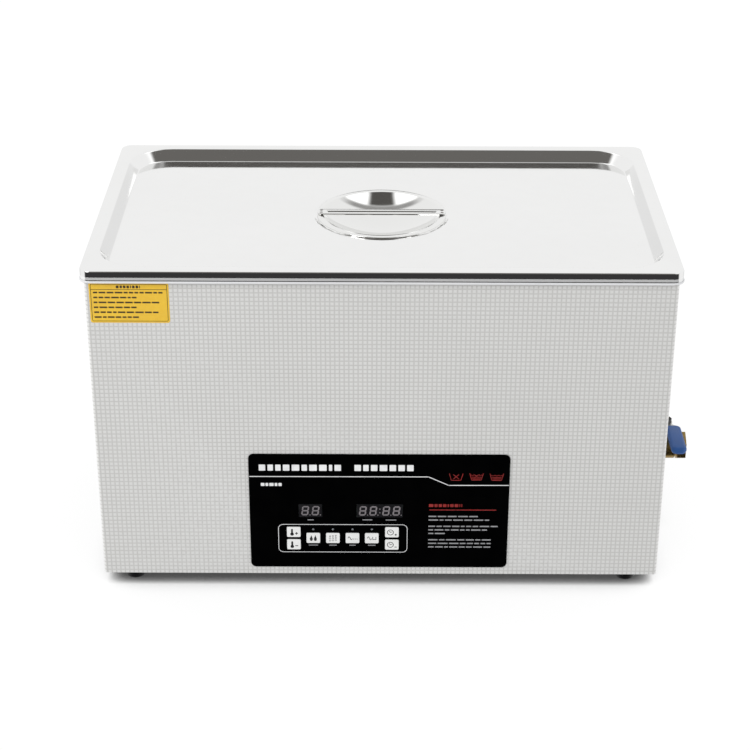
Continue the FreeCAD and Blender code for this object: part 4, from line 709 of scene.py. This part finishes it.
def lid_grip():
    """A pressed finger cup with a flat strap spot-welded across it."""
    low, high = box_of("lid_handle_cup")
    radius, top, bottom = high.x, high.z, low.z
    mouth = radius - 6.0
    depth = top - bottom - LID_SHEET
    bend = (mouth ** 2 + depth ** 2) / (2 * depth)
    centre = (0.0, top - depth + bend)
    sweep = math.degrees(math.asin(mouth / bend))
    bowl = arc(centre, bend, -90, -90 + sweep, 20)
    lip = [(mouth + 0.3, top - 0.3), (mouth + 1.0, top - 0.05), (mouth + 1.8, top)]
    rim = [(radius - 0.4, top), (radius - 0.1, top - 0.12), (radius, top - 0.4), (radius, top - 0.95)]
    below = [(r, z - LID_SHEET) for r, z in reversed(bowl[:-1])]
    profile = bowl + lip + rim + [(mouth + 1.0, top - 1.0)] + below
    piece("grip_cup", [turned(profile, steps=96)], GRIP_STEEL, "lid", ("lid_handle_cup",),
          sharp=50)
    low, high = box_of("lid_handle_bar")
    face = high.z - 0.8
    strap = block(low, (high.x, high.y, face), corner=3.0, rim=0.75)
    bead = block((-52.0, -1.1, face - 0.2), (52.0, 1.1, high.z), corner=1.0, rim=0.15)
    piece("grip_strap", [strap, bead], GRIP_STEEL, "lid", ("lid_handle_bar",))
    mark = [(0, 0.06), (0.9, 0.05), (1.2, 0.1), (1.5, 0.05), (1.6, 0.0), (0, 0)]
    welds = []
    for side in (-1, 1):
        for row in (-1, 1):
            welds.append(turned(mark, (side * (high.x - 3.4), row * 2.6, face - 0.05), steps=24))
    piece("weld_marks", welds, TINTED_STEEL, "lid")


def lid():
    lid_panel()
    lid_grip()
    soften("lid_seal", SEAL_RUBBER, 0.8)


# ---- printed marks ----
# A mark is drawn with X to the right, Y up and Z out of the surface, in millimetres.


def bar(x, y, width, height, turn=0.0, corner=0.25):
    """A printed bar about its middle."""
    rounding = min(corner, 0.45 * min(width, height))
    shape = block((-width / 2, -height / 2, -BITE), (width / 2, height / 2, INK), corner=rounding, steps=2)
    return moved(shape, spun(turn), (x, y, 0))


def disc(x, y, radius):
    return turned([(0, -BITE), (radius, -BITE), (radius, INK), (0, INK)], (x, y, 0), steps=16)


def hoop(x, y, radius, width):
    profile = [(radius - width, -BITE), (radius, -BITE), (radius, INK), (radius - width, INK)]
    return turned(profile, (x, y, 0), steps=28)


def stroke(points, width):
    """A printed line through points, with round joints."""
    shapes = [disc(x, y, width / 2) for x, y in points[1:-1]]
    for (x0, y0), (x1, y1) in zip(points, points[1:]):
        length = math.hypot(x1 - x0, y1 - y0)
        turn = math.degrees(math.atan2(y1 - y0, x1 - x0))
        shapes.append(bar((x0 + x1) / 2, (y0 + y1) / 2, length, width, turn, 0.0))
    return shapes


def blocks(x, y, widths, space, height):
    """A bold line of stand-in print: one block for each width, a wider space for each 0."""
    shapes = []
    for width in widths:
        if width:
            shapes.append(bar(x + width / 2, y, width, height, corner=0.5))
        x += (width or 4 * space) + space
    return shapes


def frame_line(low, high, corner, width):
    """A printed outline of a rounded rectangle, from lines and quarter rings."""
    (x0, y0), (x1, y1) = low, high
    shapes = []
    for y in (y0, y1):
        shapes.append(bar((x0 + x1) / 2, y, x1 - x0 - 2 * corner, width, corner=0.0))
    for x in (x0, x1):
        shapes.append(bar(x, (y0 + y1) / 2, width, y1 - y0 - 2 * corner, corner=0.0))
    inner, outer = corner - width / 2, corner + width / 2
    left, right, bottom, top = x0 + corner, x1 - corner, y0 + corner, y1 - corner
    for start, x, y in ((0, right, top), (90, left, top), (180, left, bottom), (270, right, bottom)):
        quarter = bmesh.new()
        section = quarter.faces.new([quarter.verts.new((reach, 0, z)) for reach, z in
                                     ((inner, -BITE), (inner, INK), (outer, INK), (outer, -BITE))])
        bmesh.ops.spin(quarter, geom=[section, *section.edges, *section.verts], cent=(0, 0, 0),
                       axis=(0, 0, 1), dvec=(0, 0, 0), angle=math.pi / 2, steps=6)
        shapes.append(moved(quarter, spun(start), (x, y, 0)))
    return shapes


def print_on(name, marks, material, body, at, turn=PANEL_FRONT):
    """Lays marks on a surface: turn takes their drawing plane to it and at is the drawing's origin."""
    return piece(name, [moved(mark, turn, at) for mark in marks], material, body)


# ---- control panel ----

PANEL_LOW, PANEL_HIGH = box_of("control_overlay")
PANEL_FACE = (0.0, PANEL_LOW.y, box_of("front_panel")[0].z)
TITLE_WIDTHS = (6, 5, 5, 6, 7, 5, 7, 7, 3, 6, 0, 6, 5, 6, 7, 6, 6, 6)


def print_panel(name, marks, material):
    print_on(name, marks, material, "housing", PANEL_FACE)


def panel_lines():
    """The white line that steps down under the symbols, and the round-cornered frame about the keys."""
    left, right = PANEL_LOW.x + 0.6, PANEL_HIGH.x - 0.6
    marks = stroke([(left, 105.6), (43.9, 105.8), (62.5, 96.9), (right, 97.1)], 0.75)
    marks += frame_line((-95.2, 24.4), (24.8, 54.4), 4.5, 0.5)
    print_panel("panel_lines", marks, WHITE_INK)


def panel_titles():
    marks = blocks(-112.0, 115.0, TITLE_WIDTHS, 2.05, 6.4)
    marks += blocks(-110.5, 97.2, (3.4, 2.6, 4.0, 2.6, 3.0), 0.9, 3.2)
    print_panel("panel_titles", marks, WHITE_INK)


def panel_captions():
    marks = []
    for x, y, width in ((-65.1, 59.4, 5.8), (-12.3, 59.6, 9.2), (9.6, 59.5, 9.9),
                        (-62.8, 31.9, 8.4), (-44.5, 31.9, 7.0), (-26.2, 31.9, 6.0), (-8.2, 31.9, 7.0)):
        marks.append(bar(x, y, width, 0.9))
    print_panel("panel_captions", marks, DIM_INK)


def panel_paragraphs():
    """Three short blocks of stand-in print under a red heading."""
    dice = random.Random(5)
    marks = []
    for top, ends in ((63.6, (94, 103)), (52.9, (109, 100, 63)), (38.2, (103, 105, 104))):
        for row, end in enumerate(ends):
            x = 44.5
            while x < end - 3:
                width = min(dice.uniform(3.5, 9.5), end - x)
                marks.append(bar(x + width / 2, top - 3.9 * row, width, 1.25))
                x += width + 1.3
    print_panel("panel_paragraphs", marks, DIM_INK)
    heading = blocks(44.6, 75.3, (4.2, 2.9, 3.0, 3.2, 1.4, 3.2, 3.4, 0.8, 0.8), 1.0, 3.1)
    heading.append(bar(76.1, 70.6, 62.1, 0.9))
    print_panel("panel_heading", heading, RED_INK)


def tub_symbol(x, y, filled, crossed):
    """A small open basin, with a cross or a filled lower half."""
    marks = stroke([(x - 6.3, y + 3.7), (x - 4.4, y - 3.5), (x + 4.4, y - 3.5), (x + 6.3, y + 3.7)], 0.6)
    if crossed:
        marks += stroke([(x - 2.6, y - 2.2), (x + 2.6, y + 2.6)], 0.6)
        marks += stroke([(x - 2.6, y + 2.6), (x + 2.6, y - 2.2)], 0.6)
    ripples = [(x - 5.2 + i * 10.4 / 6, y + 1.6 + 0.5 * (-1) ** i) for i in range(7)]
    if filled:
        marks += stroke(ripples, 0.5)
        marks += [bar(x, y - 0.4 - 1.3 * i, 9.2 - 0.9 * i, 0.6) for i in range(3)]
    return marks


def panel_symbols():
    marks = tub_symbol(69.2, 105.8, False, True)
    marks += tub_symbol(87.9, 106.1, True, True)
    marks += tub_symbol(106.5, 105.8, True, False)
    print_panel("panel_symbols", marks, RED_INK)


def thermometer(rising):
    marks = [bar(-1.6, 0.9, 1.7, 5.2, corner=0.8), disc(-1.6, -2.2, 1.7), bar(2.6, -1.4, 2.8, 0.8)]
    if rising:
        marks.append(bar(2.6, -1.4, 0.8, 2.8))
    return marks


def clock(rising):
    marks = [hoop(-1.4, 0.0, 3.1, 0.6), bar(-0.7, 0.3, 2.0, 0.5, 20), bar(-1.9, 0.8, 1.8, 0.5, 130),
             bar(3.6, -2.5, 2.2, 0.7)]
    if rising:
        marks.append(bar(3.6, -2.5, 0.7, 2.2))
    return marks


def flame(x):
    side = [(0.6, 1.4), (1.4, -0.6), (1.2, -2.2), (0.5, -3.0)]
    right = [(x + reach, y) for reach, y in side]
    left = [(x - reach, y) for reach, y in side]
    return prism([*left, *right[::-1], (x, 3.4)], INK + BITE, at=(0, 0, -BITE))


def bubbles():
    marks = []
    for x in (-2.7, 0.0, 2.7):
        for y in (-2.4, 0.0, 2.4):
            marks.append(hoop(x, y + 0.3 * (x / 2.7), 0.85, 0.3))
    return marks


def ripple(stepped):
    curve = [(-4.2 + 0.45 * i, 1.7 * math.sin(0.45 * i * math.pi / 2.1)) for i in range(10)]
    marks = stroke(curve, 0.5)
    if stepped:
        return marks + stroke([(0.9, 1.4), (0.9, -1.4), (3.9, -1.4), (3.9, 1.4)], 0.5)
    return marks + [disc(1.2 + 1.5 * i, -0.9, 0.42) for i in range(3)]


def key_marks():
    return {"temperature_up": thermometer(True), "temperature_down": thermometer(False),
            "heat": [flame(-1.9), flame(1.9)], "degas": bubbles(), "wave": ripple(False),
            "power": ripple(True), "time_up": clock(True), "time_down": clock(False)}


def keys():
    for name, marks in key_marks().items():
        node = "key_" + name
        low, high = box_of(node)
        body = BODY_OF[node]
        soften(node, KEY_CAP, 0.25)
        middle = (low + high) / 2
        print_on(node + "_mark", marks, BLACK_INK, body, (middle.x, low.y, middle.z))


def digit(x, y, width, height, thickness):
    """The seven unlit lamps of one numeral, leaning a little."""
    half = (height - thickness) / 2
    side = (width - thickness) / 2
    lamps = [(0, half, False), (0, 0, False), (0, -half, False)]
    lamps += [(sx * side, sy * half / 2, True) for sx in (-1, 1) for sy in (-1, 1)]
    shapes = []
    for dx, dy, upright in lamps:
        long_way = (half if upright else 2 * side) - 0.35
        size = (thickness, long_way) if upright else (long_way, thickness)
        low = (dx - size[0] / 2, dy - size[1] / 2, -BITE)
        high = (dx + size[0] / 2, dy + size[1] / 2, INK)
        shapes.append(block(low, high, corner=0.42 * thickness, steps=1))
    lean = Matrix(((1, 0.13, 0, x), (0, 1, 0, y), (0, 0, 1, 0), (0, 0, 0, 1)))
    return [moved(shape, lean) for shape in shapes]


def displays():
    soften("display_modules", DISPLAY_WINDOW, 0.15)
    windows = islands_of("display_modules")
    marks = []
    for (low, high), count in zip(windows, (2, 4)):
        middle = (low + high) / 2
        y = middle.z - PANEL_FACE[2]
        pitch = 9.6
        for index in range(count):
            colon = 1.2 if count == 4 and index > 1 else (-1.2 if count == 4 else 0)
            x = middle.x + (index - (count - 1) / 2) * pitch + colon
            marks += digit(x, y, 6.6, 10.0, 1.35)
            marks.append(disc(x + 4.4, y - 4.5, 0.55))
        if count == 4:
            marks += [disc(middle.x + 0.2, y + side * 2.0, 0.6) for side in (-1, 1)]
    face = windows[0][0].y
    print_on("display_digits", marks, SEGMENT, "housing", (0, face, PANEL_FACE[2]))


def control_panel():
    soften("control_overlay", PANEL_FILM, 0.15)
    panel_lines()
    panel_titles()
    panel_captions()
    panel_paragraphs()
    panel_symbols()
    keys()
    displays()
    soften("status_lamps", LAMP, 0.2)
    soften("tact_switches", DARK_PLASTIC, 0.2)
    soften("control_board", BOARD, 0.1)


# ---- labels ----


def label(name, low, high, face, turn, paper, print_ink, heading, lines):
    """A sticker with an inset border, a heading band and lines of stand-in print."""
    thickness, margin = 0.15, 1.6
    dice = random.Random(len(name))
    width, height = high[0] - low[0], high[1] - low[1]
    centre = ((low[0] + high[0]) / 2, (low[1] + high[1]) / 2)
    sheet = block((-width / 2, -height / 2, -BITE), (width / 2, height / 2, thickness), corner=2.0)
    at = Matrix.Translation(face) @ turn @ Vector((centre[0], centre[1], 0))
    print_on(name + "_sheet", [sheet], paper, "housing", at, turn)
    inside = width / 2 - margin
    top = height / 2 - margin
    band = top - 5.0
    marks = frame_line((-inside, -top), (inside, top), 1.2, 0.45)
    marks.append(bar(0, band, 2 * inside, 0.45, corner=0.0))
    marks += blocks(-sum(heading) / 2 - 0.45 * len(heading), band + 2.5, heading, 0.9, 2.6)
    pitch = (band + top - 2.0) / len(lines)
    for row, share in enumerate(lines):
        x = -inside + 2.0
        end = x + share * (2 * inside - 4.0)
        y = band - pitch * (row + 0.62)
        while x < end - 2.0:
            length = min(dice.uniform(2.6, 7.5), end - x)
            marks.append(bar(x + length / 2, y, length, 1.5))
            x += length + 1.1
    out = turn @ Vector((0, 0, thickness))
    print_on(name + "_print", marks, print_ink, "housing", at + out, turn)


def labels():
    front = box_of("front_panel")[0]
    rear = box_of("rear_panel")[1]
    label("caution_label", (-256.4, 260.8), (-186.4, 299.4), Vector((0, front.y, front.z)), PANEL_FRONT,
          YELLOW, BROWN, (2.4, 2.0, 2.2, 2.2, 0.9, 2.2, 2.2, 0.7), (0.97, 0.62, 0.95, 0.6, 0.9, 0.66))
    label("rating_label", (-40.0, 170.0), (40.0, 222.0), Vector((0, rear.y, front.z)), PANEL_REAR,
          SILVER, BLACK_INK, (5.0, 3.0, 4.0, 5.0), (0.7, 0.9, 0.55, 0.8, 0.95, 0.5))


# ---- drain and valve ----


def lever_sleeve():
    """A dipped vinyl grip: a block with rounded corners and rims, with a soft mould line round its middle.
    """
    low, high = box_of("lever_sleeve")
    skin = block(low, high, corner=6.0, rim=2.6, steps=10)
    middle = (low.z + high.z) / 2
    seam_low = (low.x + 0.02, low.y + 0.02, middle - 0.25)
    seam_high = (high.x - 0.02, high.y - 0.02, middle + 0.25)
    seam = block(seam_low, seam_high, corner=6.0, steps=10)
    piece("sleeve_grip", [skin, seam], SLEEVE_VINYL, "valve_handle", ("lever_sleeve",),
          sharp=60)


def drain():
    for node in ("valve_body", "valve_end", "valve_gland_nut"):
        soften(node, BRASS, 0.6)
    soften("valve_stem", BRASS, 0.3)
    for node in ("drain_elbow", "drain_pipe", "drain_locknuts"):
        soften(node, BRASS, 0.4)
    soften("drain_fitting", PLAIN_STEEL, 0.3)
    soften("drain_strainer", TANK_STEEL, 0.15)
    soften("valve_seats", VALVE_SEAT, 0.1)
    soften("valve_ball", CHROME, 0.1)
    soften("valve_lever", SCREW_STEEL, 0.35)
    soften("lever_nut", NUT_BLACK, 0.4)
    lever_sleeve()


# ---- inside, rear and handles ----


def piezo_rings():
    """Two ceramic rings over each back mass, a thin tinned contact washer showing between them."""
    ceramic, contacts = [], []
    low, high = box_of("piezo_rings")
    half = (high.z - low.z) / 2
    for below, above in islands_of("transducer_back_masses"):
        middle = (below + above) / 2
        at = (middle.x, middle.y, low.z)
        radius = (above.x - below.x) / 2
        for start in (0.0, half + 0.1):
            end = start + half - 0.1
            ring = [(7.1, start), (radius - 0.3, start), (radius, start + 0.3), (radius, end - 0.3),
                    (radius - 0.3, end), (7.1, end)]
            ceramic.append(turned(ring, at, steps=48))
        washer = [(7.3, half - 0.12), (radius - 0.02, half - 0.12), (radius - 0.02, half + 0.12),
                  (7.3, half + 0.12)]
        contacts.append(turned(washer, at, steps=48))
    piece("piezo_rings_pair", ceramic, CERAMIC, "housing", ("piezo_rings",))
    piece("piezo_contacts", contacts, BRASS, "housing")


def inside_parts():
    soften("transducer_horns", ALUMINIUM, 0.4)
    piezo_rings()
    soften("transducer_back_masses", SCREW_STEEL, 0.4)
    soften("transducer_bolts", NUT_BLACK, 0.3)
    soften("heater_pads", HEATER, 0.3)
    soften("temperature_sensor", SCREW_STEEL, 0.2)
    soften("generator_board", BOARD, 0.1)
    soften("generator_heatsink", ALUMINIUM, 0.2)
    soften("output_transformers", FERRITE, 0.4)
    soften("board_capacitors", CAPACITOR, 0.5)
    soften("board_spacers", NYLON, 0.2)


def inlet_pins():
    """Three flat pins in the mains inlet, the earth pin lower than its neighbours."""
    low, high = box_of("power_inlet")
    middle = (low + high) / 2
    floor = high.y - 17.0
    pins = []
    for shift, drop in ((-7.0, 0.0), (0.0, -4.0), (7.0, 0.0)):
        x, z = middle.x + shift, middle.z + 7.0 + drop
        foot, tip = (x - 1.0, floor - 0.5, z - 2.0), (x + 1.0, floor + 12.0, z + 2.0)
        pins.append(block(foot, tip, axis=1, corner=0.4, rim=0.4))
    piece("inlet_pins", pins, SCREW_STEEL, "housing")


def rear_parts():
    soften("fan_frame", DARK_PLASTIC, 0.4)
    soften("fan_rotor", DARK_PLASTIC, 0.3)
    soften("fan_guard", CHROME, 0.0)
    soften("power_inlet", DARK_PLASTIC, 0.4)
    soften("fuse_drawer", ROCKER_PLASTIC, 0.3)
    soften("switch_frame", DARK_PLASTIC, 0.4)
    soften("rocker_switch", ROCKER_PLASTIC, 0.4)
    inlet_pins()


def carry_handles():
    soften("carry_handle_lugs", SCREW_STEEL, 0.5)
    soften("left_handle", CHROME, 0.0, 50)
    soften("right_handle", CHROME, 0.0, 50)


# ---- stage ----


def studio_world():
    """White studio air for the eye and for matt surfaces; polished ones see soft boxes and a dim front."""
    world = bpy.data.worlds.new("studio")
    SCENE.world = world
    world.use_nodes = True
    world.cycles.sampling_method = "NONE"
    tree = world.node_tree
    tree.nodes.clear()
    toward = axes_of(tree, add(tree, "ShaderNodeTexCoord").outputs["Generated"])
    aside = calc(tree, "ABSOLUTE", toward["X"])

    def rises(axis, low, high):
        return ramp(tree, toward[axis], low, high)

    def falls(value, low, high, start=1.0):
        return ramp(tree, value, low, high, start, 0.0)

    above = times(tree, rises("Z", 0.5, 0.62), rises("Y", -0.36, -0.26))
    overhead = times(tree, falls(toward["Y"], 0.20, 0.30), above)
    boxes = times(tree, overhead, falls(aside, 0.58, 0.74))
    gap = times(tree, overhead, falls(aside, 0.16, 0.27))
    off_edge = calc(tree, "ABSOLUTE", calc(tree, "SUBTRACT", toward["Y"], 0.32))
    border = times(tree, falls(off_edge, 0.03, 0.10), falls(aside, 0.40, 0.65, 0.85))
    sides = times(tree, falls(toward["Y"], -0.22, -0.05), falls(aside, 0.74, 0.88))
    dim = times(tree, sides, falls(toward["Z"], 0.93, 0.97))
    low = times(tree, falls(toward["Z"], -0.12, 0.0), sides)
    skyline = times(tree, falls(toward["Z"], 0.06, 0.2), rises("Y", 0.3, 0.6))
    seen = (1.0, 1.0, 1.0)
    zones = [(boxes, (1.6, 1.6, 1.6)), (skyline, (0.86, 0.86, 0.86)), (border, (0.25, 0.245, 0.24)),
             (gap, (0.10, 0.095, 0.09)), (dim, (0.150, 0.144, 0.136)), (low, (0.04, 0.039, 0.04))]
    for zone, colour in zones:
        seen = blend(tree, zone, seen, colour)
    path = add(tree, "ShaderNodeLightPath").outputs
    air = blend(tree, path["Is Camera Ray"], (0.78, 0.79, 0.80), (1.0, 1.0, 1.0))
    colour = blend(tree, path["Is Glossy Ray"], air, seen)
    background = add(tree, "ShaderNodeBackground", {"Color": colour, "Strength": 1.0})
    add(tree, "ShaderNodeOutputWorld", {"Surface": background.outputs[0]})


def pale_floor():
    """A white table that glows, its glow cut by ambient occlusion into a painted contact shadow close to
    what stands on it.
    """
    shape = bmesh.new()
    bmesh.ops.create_grid(shape, x_segments=1, y_segments=1, size=6.0)
    material = bpy.data.materials.new("pale_floor")
    floor = placed("floor", shape, material)
    floor.visible_glossy = False
    material.use_nodes = True
    tree = material.node_tree
    tree.nodes.clear()
    # Painted shadow: near and wide ambient occlusion darken the floor's glow round what stands on it.
    near = add(tree, "ShaderNodeAmbientOcclusion", {"Distance": 0.07}, samples=16).outputs["AO"]
    wide = add(tree, "ShaderNodeAmbientOcclusion", {"Distance": 0.4}, samples=8).outputs["AO"]
    light = times(tree, ramp(tree, near, 0.15, 0.66, 0.08, 1.0), ramp(tree, wide, 0.2, 0.8, 0.93, 1.02))
    glow = add(tree, "ShaderNodeEmission", {"Color": (1.0, 1.0, 1.0, 1.0), "Strength": light})
    add(tree, "ShaderNodeOutputMaterial", {"Surface": glow.outputs[0]})


def soft_box(name, at, towards, size, watts):
    lamp = bpy.data.lights.new(name, "AREA")
    lamp.shape = "RECTANGLE"
    lamp.size, lamp.size_y = size
    lamp.energy = watts
    made = bpy.data.objects.new(name, lamp)
    made.location = at
    made.rotation_euler = (Vector(towards) - Vector(at)).to_track_quat("-Z", "Y").to_euler()
    SCENE.collection.objects.link(made)


def camera():
    """The viewing angle: a long lens, a little above and in front."""
    place = Vector((-0.0039, -1.6601, 0.9798))
    pitch, yaw, roll = math.radians(26.75), math.radians(-0.067), math.radians(0.178)
    made = bpy.data.cameras.new("camera")
    made.lens = 90.26
    made.sensor_width = 36.0
    seen = bpy.data.objects.new("camera", made)
    tilt = Matrix.Rotation(math.pi / 2 - pitch, 4, "X") @ Matrix.Rotation(roll, 4, "Z")
    seen.matrix_world = Matrix.Translation(place) @ Matrix.Rotation(-yaw, 4, "Z") @ tilt
    SCENE.collection.objects.link(seen)
    SCENE.camera = seen


def stage():
    SCENE.view_settings.view_transform = "Standard"
    studio_world()
    pale_floor()
    soft_box("left_box", (-1.6, -1.5, 1.9), (0, 0, 0.15), (1.1, 1.1), 24.0)
    soft_box("right_box", (1.6, -1.5, 1.9), (0, 0, 0.15), (1.1, 1.1), 4.0)
    camera()


stage()
housing()
lid()
control_panel()
labels()
drain()
inside_parts()
rear_parts()
carry_handles()
